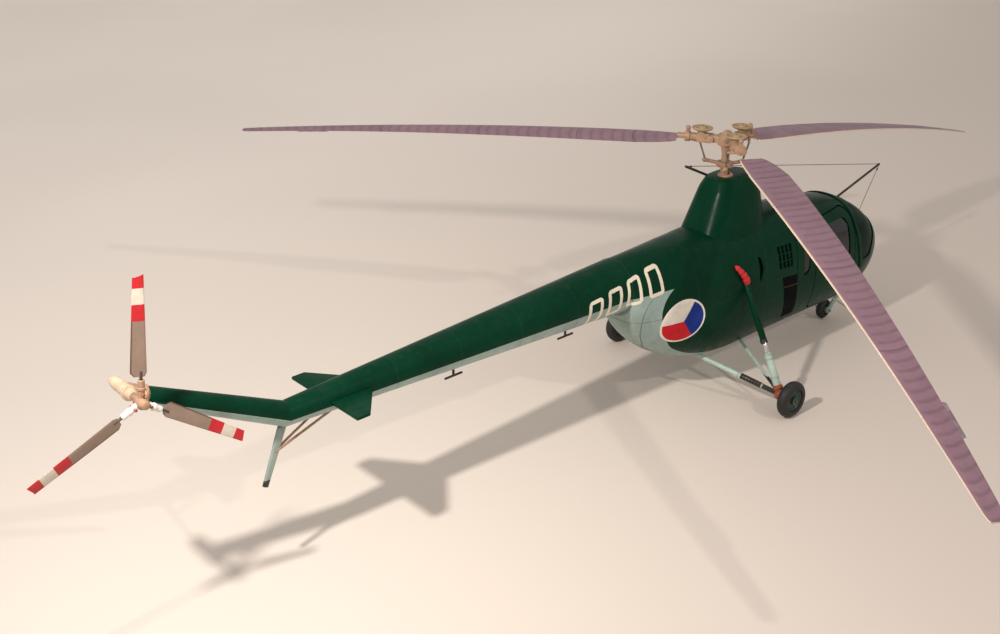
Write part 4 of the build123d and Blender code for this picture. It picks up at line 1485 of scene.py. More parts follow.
@dataclass(frozen=True)
class TailBoom:
    """The tapering boom and its raised end, mitred where they meet."""

    start_x: float = -59.6
    start_r: float = 10.18
    kink_x: float = -199.5
    kink_r: float = 3.95
    end: Triple = (-241.5, 0.0, 76.5)
    end_r: float = 2.9
    axis_z: float = 54.9

    def build(self) -> None:
        """Sweeps rings along both parts; the ring at the kink lies in the mitre plane."""
        kink, end = np.array((self.kink_x, 0.0, self.axis_z)), np.array(self.end)
        ahead, behind = np.array((-1.0, 0.0, 0.0)), unit(end - kink)
        start, mitre = np.array((self.start_x, 0.0, self.axis_z)), unit(ahead + behind)
        self.sweep("tail_boom_skin", start, kink, (self.start_r, self.kink_r), mitre, "tail_boom")
        self.sweep("raised_end_skin", kink, end, (self.kink_r, self.end_r), mitre, "tail_boom_end")

    def sweep(self, name: str, start: Array, end: Array, radii: Point, mitre: Array, node: str) -> None:
        """One part: circles across its own line, slid along it to the mitre plane at the kink.

        Args:
            name: The piece's name.
            start: Start of its middle line.
            end: End of its middle line.
            radii: First and last radius.
            mitre: Direction square to the plane in which both parts meet.
            node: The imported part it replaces.
        """
        line = unit(end - start)
        share = np.linspace(0.0, 1.0, 60)[:, None, None]
        angle = np.linspace(0.0, TAU, 72, endpoint=False)
        up = np.cross(line, (0.0, 1.0, 0.0))
        ring = np.sin(angle)[:, None] * np.array((0.0, 1.0, 0.0)) + np.cos(angle)[:, None] * up
        radius = radii[0] + (radii[1] - radii[0]) * share
        grid = start + (end - start) * share + radius * ring
        at_kink = 1.0 - share if node == "tail_boom_end" else share
        kink = start if node == "tail_boom_end" else end
        slide = ((kink - grid) @ mitre) / (line @ mitre)
        grid = grid + np.where(at_kink[..., 0] > 0.999, slide, 0.0)[..., None] * line
        place(dress(surface(name, grid), BODY_PAINT), "airframe", "green_gloss", (node,))


@dataclass(frozen=True)
class MainBlade:
    """One fabric-covered blade: its arm's azimuth and how it drops, in the rotor's tilted frame."""

    number: int
    azimuth: float
    root_drop: float
    even: float
    growing: float
    pitch: float
    hub: Triple = (0.8, 0.0, 96.8)
    tilt: float = 3.5
    root_r: float = 19.0
    tip_r: float = 204.0
    nose_share: float = 0.24
    thickness: float = 0.115
    rib_rise: float = 0.07
    rib: float = 4.2
    rib_end: float = 200.0
    steps: int = 26
    least_thickness: float = 0.85
    tab_span: tuple[float, ...] = (162.0, 162.5, 175.5, 176.0)
    tab_reach: tuple[float, ...] = (0.2, 1.2, 1.2, 0.2)
    tab_root: float = 0.8
    tab_half: Pair = (0.14, 0.1)
    chords: tuple[Pair, ...] = (
        (19.0, 8.5), (21.0, 10.2), (25.0, 12.0), (34.0, 14.15), (52.0, 14.25), (90.0, 12.95),
        (135.0, 10.25), (175.0, 7.65), (199.0, 5.85), (201.5, 5.3), (203.0, 4.2), (203.8, 2.6),
    )

    def build(self) -> None:
        """Sweeps aerofoil rings along the drooping axis, with raised ribs, and adds the trim tab."""
        r = np.concatenate([np.arange(self.root_r, 199.0, 0.7), np.linspace(199.0, 203.9, 12)])
        known = np.array(self.chords)
        chord = np.interp(r, known[:, 0], known[:, 1])
        across = ring_shares(self.steps)
        top = np.arange(len(across)) <= self.steps
        rise = 1.32 * np.sqrt(across) * (1 - across) * (1 + 0.35 * (1 - across))
        height = np.where(top, 0.62, -0.38) * rise
        thick = np.maximum(self.thickness * chord, self.least_thickness)
        wave = np.cos(TAU * (r[:, None] + 5.0 * (across - 0.35) ** 2) / self.rib)
        ribbed = np.where(across > 0.1, 1.0, 0.0) * (across < 0.97) * (r[:, None] < self.rib_end)
        ribs = self.rib_rise * np.maximum(wave, -0.2) * ribbed
        z = thick[:, None] * height + np.where(top, 1.0, -1.0) * ribs
        edge = np.where(top, 0.12, -0.12) * across
        y = chord[:, None] * (across - self.nose_share)
        grid = self.in_place(r, y, z + edge)
        uv = map_of(r / BLADE_MAP, across)
        blade = dress(surface("main_blade_%d_skin" % self.number, grid, uv=uv, sharp=50.0), BLADE_PAINT)
        place(blade, "main_rotor", "blade_mauve", ("main_blade_%d" % self.number,))
        self.trim_tab(known)

    def trim_tab(self, known: Array) -> None:
        """The flat tab on the trailing edge.

        Args:
            known: Radii and chords of the blade, one pair a row.
        """
        tab_r = np.array(self.tab_span)
        rear = np.interp(tab_r, known[:, 0], known[:, 1]) * (1 - self.nose_share)
        inner, outer = rear - self.tab_root, rear + np.array(self.tab_reach)
        thick, thin = self.tab_half
        y = np.stack([inner, outer, outer, inner], axis=1)
        z = np.broadcast_to(np.array((thick, thin, -thin, -thick)), y.shape)
        tab = dress(surface("trim_tab_%d" % self.number, self.in_place(tab_r, y, z)), TAB_PAINT)
        place(tab, "main_rotor", "blade_mauve")

    def in_place(self, r: Array, y: Array, z: Array) -> Array:
        """Turns section points by the pitch, drops them, and turns the blade into the rotor's place.

        The drop is root_drop + even s + growing s^2, with s the share of the blade's length.

        Args:
            r: Radius of each ring.
            y: Places across the blade.
            z: Places above its chord.

        Returns:
            The grid of points.
        """
        share = np.clip((r - self.root_r) / (self.tip_r - self.root_r), 0, 1)
        pitch = -np.radians(self.pitch) * (1 - share)[:, None]
        y, z = y * np.cos(pitch) - z * np.sin(pitch), y * np.sin(pitch) + z * np.cos(pitch)
        drop = self.root_drop + self.even * share + self.growing * share**2
        slope = np.arctan((self.even + 2 * self.growing * share) / (self.tip_r - self.root_r))[:, None]
        x = r[:, None] + z * np.sin(slope)
        grid = np.stack([x, y, z * np.cos(slope) - drop[:, None]], axis=-1)
        grid = turned_about(grid, (0, 0, 1), math.radians(self.azimuth))
        return turned_about(grid, (0, 1, 0), math.radians(self.tilt)) + np.array(self.hub)


BLADES = (
    MainBlade(1, 122.3, 0.2, 7.1, 8.1, 5.0), MainBlade(2, 239.6, 3.0, 24.5, 15.9, -4.0),
    MainBlade(3, 364.8, 3.2, 14.9, 13.1, -6.5),
)


@dataclass(frozen=True)
class DragDampers:
    """Three rimmed dishes on stems, one over each arm of the rotor head."""

    hub: Triple = (0.0, 0.0, 96.8)
    tilt: float = 4.0
    azimuths: tuple[float, ...] = (122.0, 238.8, 365.6)
    radius: float = 9.6
    bolt: Triple = (4.3, 4.95, 0.42)
    profile: tuple[Point, ...] = (
        (1.4, 1.5), (2.4, 1.5), (2.6, 2.4), (3.2, 3.7), (3.5, 4.0), (3.9, 4.0), (4.05, 3.75),
        (3.85, 3.3), (3.6, 2.9), (3.65, 1.7), (4.1, 1.5), (4.35, 1.1), (4.45, 0.5),
    )

    def build(self) -> None:
        """Turns each dish about its stem's line, with a bolt head on top."""
        up = turned_about(np.array((0.0, 0.0, 1.0)), (0, 1, 0), math.radians(self.tilt))
        low, high, bolt_r = self.bolt
        dishes = []
        for azimuth in self.azimuths:
            a = math.radians(azimuth)
            foot = np.array((self.radius * math.cos(a), self.radius * math.sin(a), 0.0))
            foot = turned_about(foot, (0, 1, 0), math.radians(self.tilt)) + np.array(self.hub)
            dishes.append(dress(turned("dish", self.profile, foot, up, 56, 28.0), OLIVE_PAINT))
            dishes.append(dress(rod("bolt", foot + up * low, foot + up * high, bolt_r, sides=6), TAN_PAINT))
        place(joined("damper_dishes", dishes), "main_rotor", "damper_olive", ("drag_dampers",))


@dataclass(frozen=True)
class TailGearbox:
    """The tail rotor's gearbox: a domed casing across the end of the boom, with a flange and bolts."""

    middle: Triple = (-246.9, 0.0, 80.5)
    boom_end: Triple = (-240.6, 0.0, 76.0)
    dome: tuple[Point, ...] = (
        (-5.6, 1.2), (-5.3, 1.5), (-3.6, 1.7), (-3.4, 2.2), (-2.7, 2.2), (-2.5, 1.8), (0.0, 1.85),
    )
    dome_end: float = 8.2
    dome_r: float = 1.85
    cap_start: float = 0.35
    tip_r: float = 0.12
    neck: tuple[Point, ...] = ((0.0, 2.75), (1.6, 2.75), (1.9, 3.1), (2.5, 3.1), (2.8, 2.5), (7.0, 2.2))
    bolts: int = 8
    bolt_r: float = 0.2
    neck_bolts: Pair = (2.4, 2.8)
    flange_bolts: Pair = (-2.8, 1.95)

    def build(self) -> None:
        """Turns the casing about the shaft's line and joins it to the boom by a stepped neck."""
        t = np.linspace(0.08, 1.0, 14) * math.pi / 2
        foot, rise = self.dome_end * self.cap_start, self.dome_end * (1 - self.cap_start)
        cap = [(foot + rise * math.sin(a), self.dome_r * math.cos(a) ** 0.8) for a in t[:-1]]
        profile = [*self.dome, *cap, (self.dome_end, self.tip_r)]
        pieces = [dress(turned("casing", profile, self.middle, (0, 1, 0), 48, 30.0), CREAM_PAINT)]
        line = unit(np.array(self.middle) - np.array(self.boom_end))
        root = np.array(self.boom_end)
        pieces.append(dress(turned("neck", self.neck, root, line, 48, 30.0), TAN_PAINT))
        across = frame_about(line)
        (neck_at, neck_ring), (flange_at, flange_ring) = self.neck_bolts, self.flange_bolts
        for a in TAU * np.arange(self.bolts) / self.bolts:
            c, s = math.cos(a), math.sin(a)
            spot = root + line * neck_at + (across[0] * c + across[1] * s) * neck_ring
            pieces.append(dress(rod("bolt", spot, spot + line * 0.5, self.bolt_r, sides=6), RUST_PAINT))
            spot = np.array(self.middle) + (flange_ring * c, flange_at, flange_ring * s)
            pieces.append(dress(rod("bolt", spot, spot + (0, 0.5, 0), self.bolt_r, sides=6), RUST_PAINT))
        place(joined("tail_gearbox_casing", pieces), "airframe", "tan", ("tail_gearbox",))


@dataclass(frozen=True)
class TailRotor:
    """Three twisted blades about the tail shaft, with dark stems, in the shaft's own frame."""

    hub: Triple = (-246.9, -10.2, 80.5)
    first: float = 82.0
    root_r: float = 7.4
    tip_r: float = 35.7
    pitch: float = 14.0
    steps: int = 12
    boss: tuple[Point, ...] = (
        (-4.6, 0.9), (-1.9, 0.9), (-1.7, 1.6), (1.3, 1.7), (1.6, 1.4), (2.2, 1.3), (2.9, 1.1),
        (3.1, 0.7),
    )
    cuff: tuple[Point, ...] = (
        (1.2, 0.95), (3.6, 0.95), (3.75, 1.15), (4.3, 1.15), (4.5, 0.95), (6.3, 0.95), (6.5, 0.8),
    )
    lug: Triple = (2.6, 1.7, 0.45)
    stem: Triple = (6.0, 9.0, 0.42)

    def build(self) -> None:
        """Builds the blades, their stems and cuffs, and the hub they turn on."""
        skins, stems, cuffs = [], [], []
        cuffs.append(dress(turned("boss", self.boss, self.hub, (0, -1, 0), 36, 30.0), TAN_PAINT))
        hub = np.array(self.hub)
        lug_at, lug_half, lug_r = self.lug
        stem_start, stem_end, stem_r = self.stem
        for number in range(3):
            turn = math.radians(self.first + 120 * number)
            skins.append(self.blade("tail_blade_%d" % (number + 1), turn))
            direction = np.array((math.cos(turn), 0.0, math.sin(turn)))
            cuff = turned("cuff", self.cuff, hub, direction, 28, 30.0)
            cuffs.append(dress(cuff, CUFF_PAINT if number else TAN_PAINT))
            lug, reach = hub + direction * lug_at, np.array((0.0, lug_half, 0.0))
            cuffs.append(dress(rod("lug", lug - reach, lug + reach, lug_r, sides=10), RUST_PAINT))
            stem = rod(
                "tail_stem_%d" % (number + 1), hub + direction * stem_start,
                hub + direction * stem_end, stem_r,
            )
            stems.append(dress(stem, LINK_PAINT))
        place(joined("tail_blade_skins", skins), "tail_rotor", "tail_blade_taupe", ("tail_blades",))
        place(joined("tail_blade_stems", stems), "tail_rotor", "link_dark")
        place(joined("tail_hub_cuffs", cuffs), "tail_rotor", "cuff_white", ("tail_rotor_hub",))

    def blade(self, name: str, turn: float) -> Piece:
        """One blade: lens-shaped sections along the radius, twisted about it.

        Args:
            name: The piece's name.
            turn: Its turn about the shaft, in radians.

        Returns:
            The blade.
        """
        parts = ((self.root_r, 9.0, 5), (9.5, 35.0, 40), (35.2, self.tip_r, 4))
        r = np.concatenate([np.linspace(*part) for part in parts])
        share = (r - self.root_r) / (self.tip_r - self.root_r)
        chord = (4.5 - 1.5 * share) * np.minimum(1.0, 0.62 + 0.38 * np.clip((r - self.root_r) / 1.2, 0, 1))
        across = ring_shares(self.steps)
        side = np.where(np.arange(len(across)) <= self.steps, 0.6, -0.4)
        z = np.maximum(0.12 * chord, 0.6)[:, None] * side * 1.3 * np.sqrt(across) * (1.05 - across)
        y = chord[:, None] * (across - 0.35)
        x = r[:, None] - np.where(r > 35.0, 1.0, 0.0)[:, None] * across * 0.9
        twist = -np.radians(self.pitch) * (1 - 0.6 * share)[:, None]
        y, z = y * np.cos(twist) - z * np.sin(twist), y * np.sin(twist) + z * np.cos(twist)
        local = np.stack([np.broadcast_to(x, y.shape), y, z], axis=-1)
        out = np.array((math.cos(turn), 0, math.sin(turn)))
        up, axis = np.array((-math.sin(turn), 0, math.cos(turn))), np.array((0, -1.0, 0))
        grid = np.array(self.hub) + local[..., :1] * out + local[..., 1:2] * up + local[..., 2:] * axis
        uv = map_of(r / TAIL_BLADE_MAP, across)
        return dress(surface(name, grid, uv=uv, sharp=50.0), TAIL_BLADE_PAINT)


@dataclass(frozen=True)
class Wheel:
    """A moulded wheel: rounded tyre with a groove, and a dished disc with a rim, hub and bolts."""

    name: str
    body: str
    centre: Triple
    radius: float
    width: float
    rim: float
    bolts: int = 6

    def build(self) -> None:
        """Turns tyre and disc about the axle and sets the bolts round the hub."""
        half = self.width / 2
        turn = np.linspace(-0.32, math.pi + 0.32, 26)
        crown = half * 0.92
        bulge = np.stack([-np.cos(turn) * half, self.radius - crown + np.sin(turn) * crown], axis=1)
        inner = [(half * 0.62, self.rim - 0.1), (-half * 0.62, self.rim - 0.1)]
        tyre = turned_ring(self.name + "_rubber", [*bulge, *inner], self.centre, (0, 1, 0), 72, 40.0)
        place(dress(tyre, RUBBER), self.body, "tyre_black", (self.name + "_tyre",))
        bore = 0.95 if self.radius > 5 else 0.7
        r = self.rim
        hub = [(0.9, bore), (0.94, bore + 0.55), (0.42, bore + 0.75)]
        dish = [(0.34, r * 0.55), (0.5, r * 0.72), (0.42, r * 0.86), (0.66, r * 0.97), (0.6, r)]
        outer = [*hub, *dish]
        profile = [(a * half, b) for a, b in outer] + [(-a * half, b) for a, b in reversed(outer)]
        disc = turned_ring(self.name + "_disc", profile, self.centre, (0, 1, 0), 64, 30.0)
        pieces = [dress(disc, WHEEL_PAINT)]
        for side in (-1, 1):
            for a in TAU * np.arange(self.bolts) / self.bolts:
                out = (math.cos(a) * r * 0.5, side * half * 0.3, math.sin(a) * r * 0.5)
                spot = np.array(self.centre) + out
                bolt = rod("bolt", spot, spot + (0, side * 0.35, 0), 0.22, sides=8)
                pieces.append(dress(bolt, WHEEL_PAINT))
        place(joined(self.name + "_wheel_disc", pieces), self.body, "wheel_green", (self.name + "_hub",))


WHEELS = (
    Wheel("main_wheel_right", "wheel_right", (-9.9, -45.4, 7.15), 7.15, 4.4, 4.2),
    Wheel("main_wheel_left", "wheel_left", (-9.9, 45.4, 7.15), 7.15, 4.4, 4.2),
    Wheel("nose_wheel", "nose_wheel", (71.5, 0.0, 4.3), 4.3, 3.2, 2.4, 5),
)


@dataclass(frozen=True)
class ExhaustCover:
    """A cloth cover tied over an exhaust stub, with folds round it."""

    low: Pair = (-6.2, 45.3)
    high: Pair = (-11.8, 53.6)
    radius: float = 1.55
    proud: Pair = (0.75, 0.45)

    def stub(self, at: Point, proud: float, side: int) -> Array:
        """A point of the stub, off the body's side.

        Args:
            at: Place along the body and height.
            proud: How far off the skin.
            side: -1 for starboard and 1 for port.

        Returns:
            The point.
        """
        x, z = at
        return np.array((x, side * (float(BODY.side_y(np.array([x]), np.array([z]))[0]) + proud), z))

    def build(self) -> None:
        """Sweeps folded rings from the stub's foot to its tip on both sides."""
        covers = []
        for side in (-1, 1):
            start, end = (self.stub(at, proud, side) for at, proud in zip((self.low, self.high), self.proud))
            t = np.linspace(0, 1, 40)
            bow = np.array((0, side * 1.0, 0.4)) * np.sin(math.pi * t)[:, None]
            path = start + (end - start) * t[:, None] + bow
            shape = np.sqrt(np.clip(1 - (2 * t - 1) ** 8, 0.01, 1)) * (1 - 0.42 * t)
            folds = 1 + 0.10 * np.sin(t * 31.0) + 0.05 * np.sin(t * 53.0 + 1.0)
            grid = tube_grid(path, self.radius * shape * folds, 28, 0.8, (0, 1, 0))
            covers.append(dress(surface("cover", grid, sharp=70.0), RED_CLOTH))
        place(joined("exhaust_cover_cloths", covers), "airframe", "cover_red", ("exhaust_covers",))


@dataclass(frozen=True)
class EngineGrilles:
    """Slots and scoops cut in the sides of the engine bay, with black backs that are painted shade, thin
    bars, and louvres over painted shade.
    """

    upper: tuple[Point, ...] = ((13.0, 54.2), (22.4, 53.5), (23.0, 44.2), (13.4, 45.2))
    lower: tuple[Point, ...] = ((15.8, 41.0), (24.7, 40.0), (27.6, 21.8), (20.4, 21.4))
    slots: int = 4
    upper_open: float = 0.80
    lower_open: float = 0.93
    scoop: tuple[float, float, float, float] = (1.9, 48.4, 2.9, 5.0)
    upper_bars: tuple[float, ...] = (0.36, 0.68)
    lower_bars: tuple[float, ...] = (0.22,)
    bar_half: float = 0.016
    scoop_width: float = 3.0
    cover: tuple[float, float, float, float] = (25.2, 29.2, 37.2, 56.8)

    def plate(self, name: str, spot: Array, side: int, low: float, high: float, finish: Finish) -> Piece:
        """A plate that follows the body's side between two depths below its skin.

        Args:
            name: The piece's name.
            spot: Grid of places along the body and heights.
            side: -1 for starboard and 1 for port.
            low: Depth of its outer face.
            high: Depth of its inner face.
            finish: Its finish.

        Returns:
            The plate.
        """
        x, z = spot[..., 0], spot[..., 1]
        skin = BODY.side_y(x.ravel(), z.ravel()).reshape(x.shape)
        outer, inner = (np.stack([x, side * (skin - depth), z], axis=-1) for depth in (low, high))
        grid = np.concatenate([outer, inner[:, ::-1]], axis=1)
        return dress(surface(name, grid, sharp=60.0), finish)

    @staticmethod
    def between(corners: Sequence[Point], across: Pair, down: Pair, rows: int) -> Array:
        """Spots of a part of a four-cornered panel: bilinear between its corners.

        Args:
            corners: Upper rear, upper front, lower front and lower rear corner.
            across: Start and end along the body, in shares.
            down: Start and end downwards, in shares.
            rows: Rows of spots.

        Returns:
            The grid of spots.
        """
        a, b, d, c = (np.array(p) for p in corners)
        s = np.linspace(*across, 5)[None, :, None]
        t = np.linspace(*down, rows)[:, None, None]
        return (a + (b - a) * s) * (1 - t) + (c + (d - c) * s) * t

    def crescent(self) -> Array:
        """Spots of the scoop: the front edge of an oval, widest at its middle.

        Returns:
            The grid of spots.
        """
        x0, z0, half_x, half_z = self.scoop
        angle = np.linspace(-1.45, 1.45, 24)[:, None]
        reach = np.linspace(0.0, 1.0, 5)[None]
        width = self.scoop_width * np.cos(angle) ** 0.8
        x = x0 + half_x * np.cos(angle) - width * (1 - reach)
        return np.stack([x, z0 + half_z * np.sin(angle) + 0 * reach], axis=-1)

    def build(self) -> None:
        """Cuts the upper slots and the scoops, gives them black backs of painted shade and bars, and lays on
        the louvres over black plates of painted shade.
        """
        cutters, painted_shade_plates, bars, covers = [], [], [], []
        for side in (-1, 1):
            for number in range(self.slots):
                across = self.shares(number, self.upper_open)
                spot = self.between(self.upper, across, (0.0, 1.0), 10)
                cutters.append(self.plate("slot", spot, side, -0.7, 1.0, GREEN_PAINT))
                wide = self.between(self.upper, (across[0] - 0.02, across[1] + 0.02), (0.0, 1.0), 10)
                # A black plate at the bottom of the slot: painted shade.
                painted_shade_plates.append(self.plate("back", wide, side, 0.85, 1.0, GRILLE_PAINTED_SHADE))
                bars += self.bars(self.upper, across, self.upper_bars, side, (0.12, 0.5), GREEN_PAINT)
            for number in range(self.slots):
                across = self.shares(number, self.lower_open)
                spot = self.between(self.lower, across, (0.0, 1.0), 16)
                # A black plate under the louvres: painted shade between them.
                painted_shade_plates.append(self.plate("back", spot, side, -0.14, 0.3, GRILLE_PAINTED_SHADE))
                bars += self.bars(self.lower, across, self.lower_bars, side, (-0.3, 0.1), LOUVRE_BROWN)
            cutters.append(self.plate("scoop", self.crescent(), side, -0.7, 1.2, GREEN_PAINT))
            # A black plate at the bottom of the scoop: painted shade.
            painted_shade_plates.append(self.plate("scoop_painted_shade", self.crescent(), side, 1.05, 1.2, GRILLE_PAINTED_SHADE))
            x0, x1, z0, z1 = self.cover
            spot = self.between(((x0, z1), (x1, z1), (x1, z0), (x0, z0)), (0.0, 1.0), (0.0, 1.0), 14)
            covers.append(self.plate("cover", spot, side, -0.25, 0.3, BODY_PAINT))
        bay = bpy.data.objects["engine_bay_dressed"]
        cut(bay, joined("slot_cutters", cutters))
        bay.data.set_sharp_from_angle(angle=math.radians(32.0))
        smooth_skin(dress(bay, BODY_PAINT))
        place(joined("grille_painted_shade", painted_shade_plates), "airframe", "black")
        place(joined("grille_bars", bars), "airframe", "black")
        place(joined("side_covers", covers), "airframe", "green_gloss")

    def shares(self, number: int, open_share: float) -> Pair:
        """Start and end of a slot along its panel, in shares."""
        return tuple((number + e) / self.slots for e in ((1 - open_share) / 2, (1 + open_share) / 2))

    def bars(
        self,
        corners: Sequence[Point],
        across: Pair,
        steps: Sequence[float],
        side: int,
        depths: Pair,
        finish: Finish,
    ) -> list[Piece]:
        """The thin bars across one slot.

        Args:
            corners: The panel's corners.
            across: Start and end of the slot along the body, in shares.
            steps: Places of the bars down it, in shares.
            side: -1 for starboard and 1 for port.
            depths: Depths of their outer and inner face.
            finish: Their finish.

        Returns:
            The bars.
        """
        half = self.bar_half
        spots = [self.between(corners, across, (step - half, step + half), 3) for step in steps]
        return [self.plate("bar", spot, side, *depths, finish) for spot in spots]


@dataclass(frozen=True)
class WindscreenHoop:
    """The raised band round the rear of the windscreen, laid on the body's skin."""

    roof_x: float = 66.9
    foot_x: float = 70.6
    knee_z: float = 49.0
    foot_z: float = 33.0
    band: float = 2.0
    rise: float = 0.55
    chamfer: float = 0.15
    sunk: float = 0.3
    wrap: float = 0.22

    def build(self) -> None:
        """Sweeps the band's section from one sill over the roof to the other."""
        up = np.linspace(0.0, 1.0, 90)
        tilt = -self.wrap + (math.pi + 2 * self.wrap) * up
        rows = []
        for shift in (-self.band, -self.band + self.chamfer, -self.chamfer, 0.0):
            z = np.full(len(up), 45.0)
            for _ in range(12):
                slant = np.clip((self.knee_z - z) / (self.knee_z - self.foot_z), 0.0, 1.4)
                x = self.roof_x + shift + (self.foot_x - self.roof_x) * slant
                low, high, wide, power = BODY.sizes_at(x)
                y = wide * signed_power(np.cos(tilt), 2 / power)
                z = (low + high) / 2 + (high - low) / 2 * signed_power(np.sin(tilt), 2 / power)
            rows.append(np.stack([x, y, z], axis=-1))
        skin = np.stack(rows, axis=1)
        normal = BODY.normals(skin.reshape(-1, 3))[0].reshape(skin.shape)
        edge = self.rise - self.chamfer
        rise = np.array((edge, self.rise, self.rise, edge))[None, :, None]
        grid = np.concatenate([skin + normal * rise, (skin - normal * self.sunk)[:, ::-1]], axis=1)
        place(dress(surface("windscreen_hoop", grid, sharp=40.0), BODY_PAINT), "airframe", "green_gloss")


@dataclass(frozen=True)
class Cushion:
    """A crowned cushion: a rounded box |x/a|^p + |y/b|^p + |z/c|^p = 1, pulled in between its corners."""

    name: str
    centre: Triple
    size: Triple
    lean: float = 0.0
    power: float = 4.5
    channels: int = 4

    def build(self) -> Piece:
        """Builds the cushion with sewn channels across it.

        Returns:
            The cushion.
        """
        u = np.linspace(-math.pi / 2 + 0.02, math.pi / 2 - 0.02, 40)[:, None]
        v = np.linspace(0, TAU, 80, endpoint=False)[None]
        e = 2 / self.power
        shape = np.stack(
            np.broadcast_arrays(
                signed_power(np.cos(u), e) * signed_power(np.cos(v), e),
                signed_power(np.cos(u), e) * signed_power(np.sin(v), e),
                signed_power(np.sin(u), e),
            ),
            axis=-1,
        )
        crown = 1 - 0.16 * (1 - np.abs(np.cos(2 * v))) * np.cos(u) ** 4
        wave = np.abs(np.cos(math.pi * self.channels * (shape[..., 1] + 1) / 2))
        groove = 1 - 0.10 * wave**14 * (shape[..., 2] > 0.3)
        half = np.array(self.size) / 2
        points = shape * half * np.stack([crown * np.ones_like(u), crown * np.ones_like(u), groove], axis=-1)
        points = turned_about(points, (0, 1, 0), -math.radians(self.lean)) + np.array(self.centre)
        return dress(surface(self.name, points, sharp=80.0), LEATHER)


@dataclass(frozen=True)
class CabinInside:
    """Seats, seat frames and instruments that show through the panes."""

    floor_z: float = 18.4
    panel_x: float = 74.2
    dials: tuple[Point, ...] = (
        (-5.6, 34.4), (-1.9, 34.8), (1.9, 34.8), (5.6, 34.4), (-3.8, 30.9), (0.0, 31.0),
        (3.8, 30.9),
    )
    bezel: tuple[Point, ...] = ((0, 1.25), (0, 1.55), (0.4, 1.5), (0.4, 1.25))

    def build(self) -> None:
        """Builds the upholstery on its frames and the faces of the instruments."""
        z = self.floor_z
        pilot = [
            Cushion("pilot_cushion", (56.3, 0, z + 5.4), (10.4, 11.2, 3.6)).build(),
            Cushion("pilot_back", (48.9, 0, z + 11.2), (14.0, 11.2, 2.9), 98.0).build(),
        ]
        frame = [
            block("pilot_pan", (51.0, -5.4, z + 2.6), (61.3, 5.4, z + 3.8), 0.3),
            *[rod("leg", (x, y, z), (x, y, z + 3.0), 0.5) for x in (52.5, 60.0) for y in (-4.6, 4.6)],
        ]
        for piece in frame:
            dress(piece, CABIN_PAINT)
        place(joined("pilot_seat_dressed", pilot + frame), "airframe", "seat_brown", ("pilot_seat",))
        bench = [
            Cushion("bench_cushion", (31.3, 0, z + 6.2), (11.4, 27.4, 3.7), channels=8).build(),
            Cushion("bench_back", (24.7, 0, z + 15.0), (17.5, 27.0, 3.0), 90.0, channels=8).build(),
        ]
        box = dress(block("bench_box", (25.4, -13.4, z), (36.6, 13.4, z + 4.6), 0.3), CABIN_PAINT)
        place(joined("rear_bench_dressed", [*bench, box]), "airframe", "seat_brown", ("rear_bench",))
        dials = []
        for y, high in self.dials:
            spot = np.array((self.panel_x, y, high))
            dials.append(dress(rod("dial", spot, spot - (0.28, 0, 0), 1.25, sides=24), DIAL))
            ring = turned_ring("bezel", self.bezel, spot, (-1, 0, 0), 24)
            dials.append(dress(ring, BLACK_PAINT))
        place(joined("instruments", dials), "airframe", "cabin_grey")


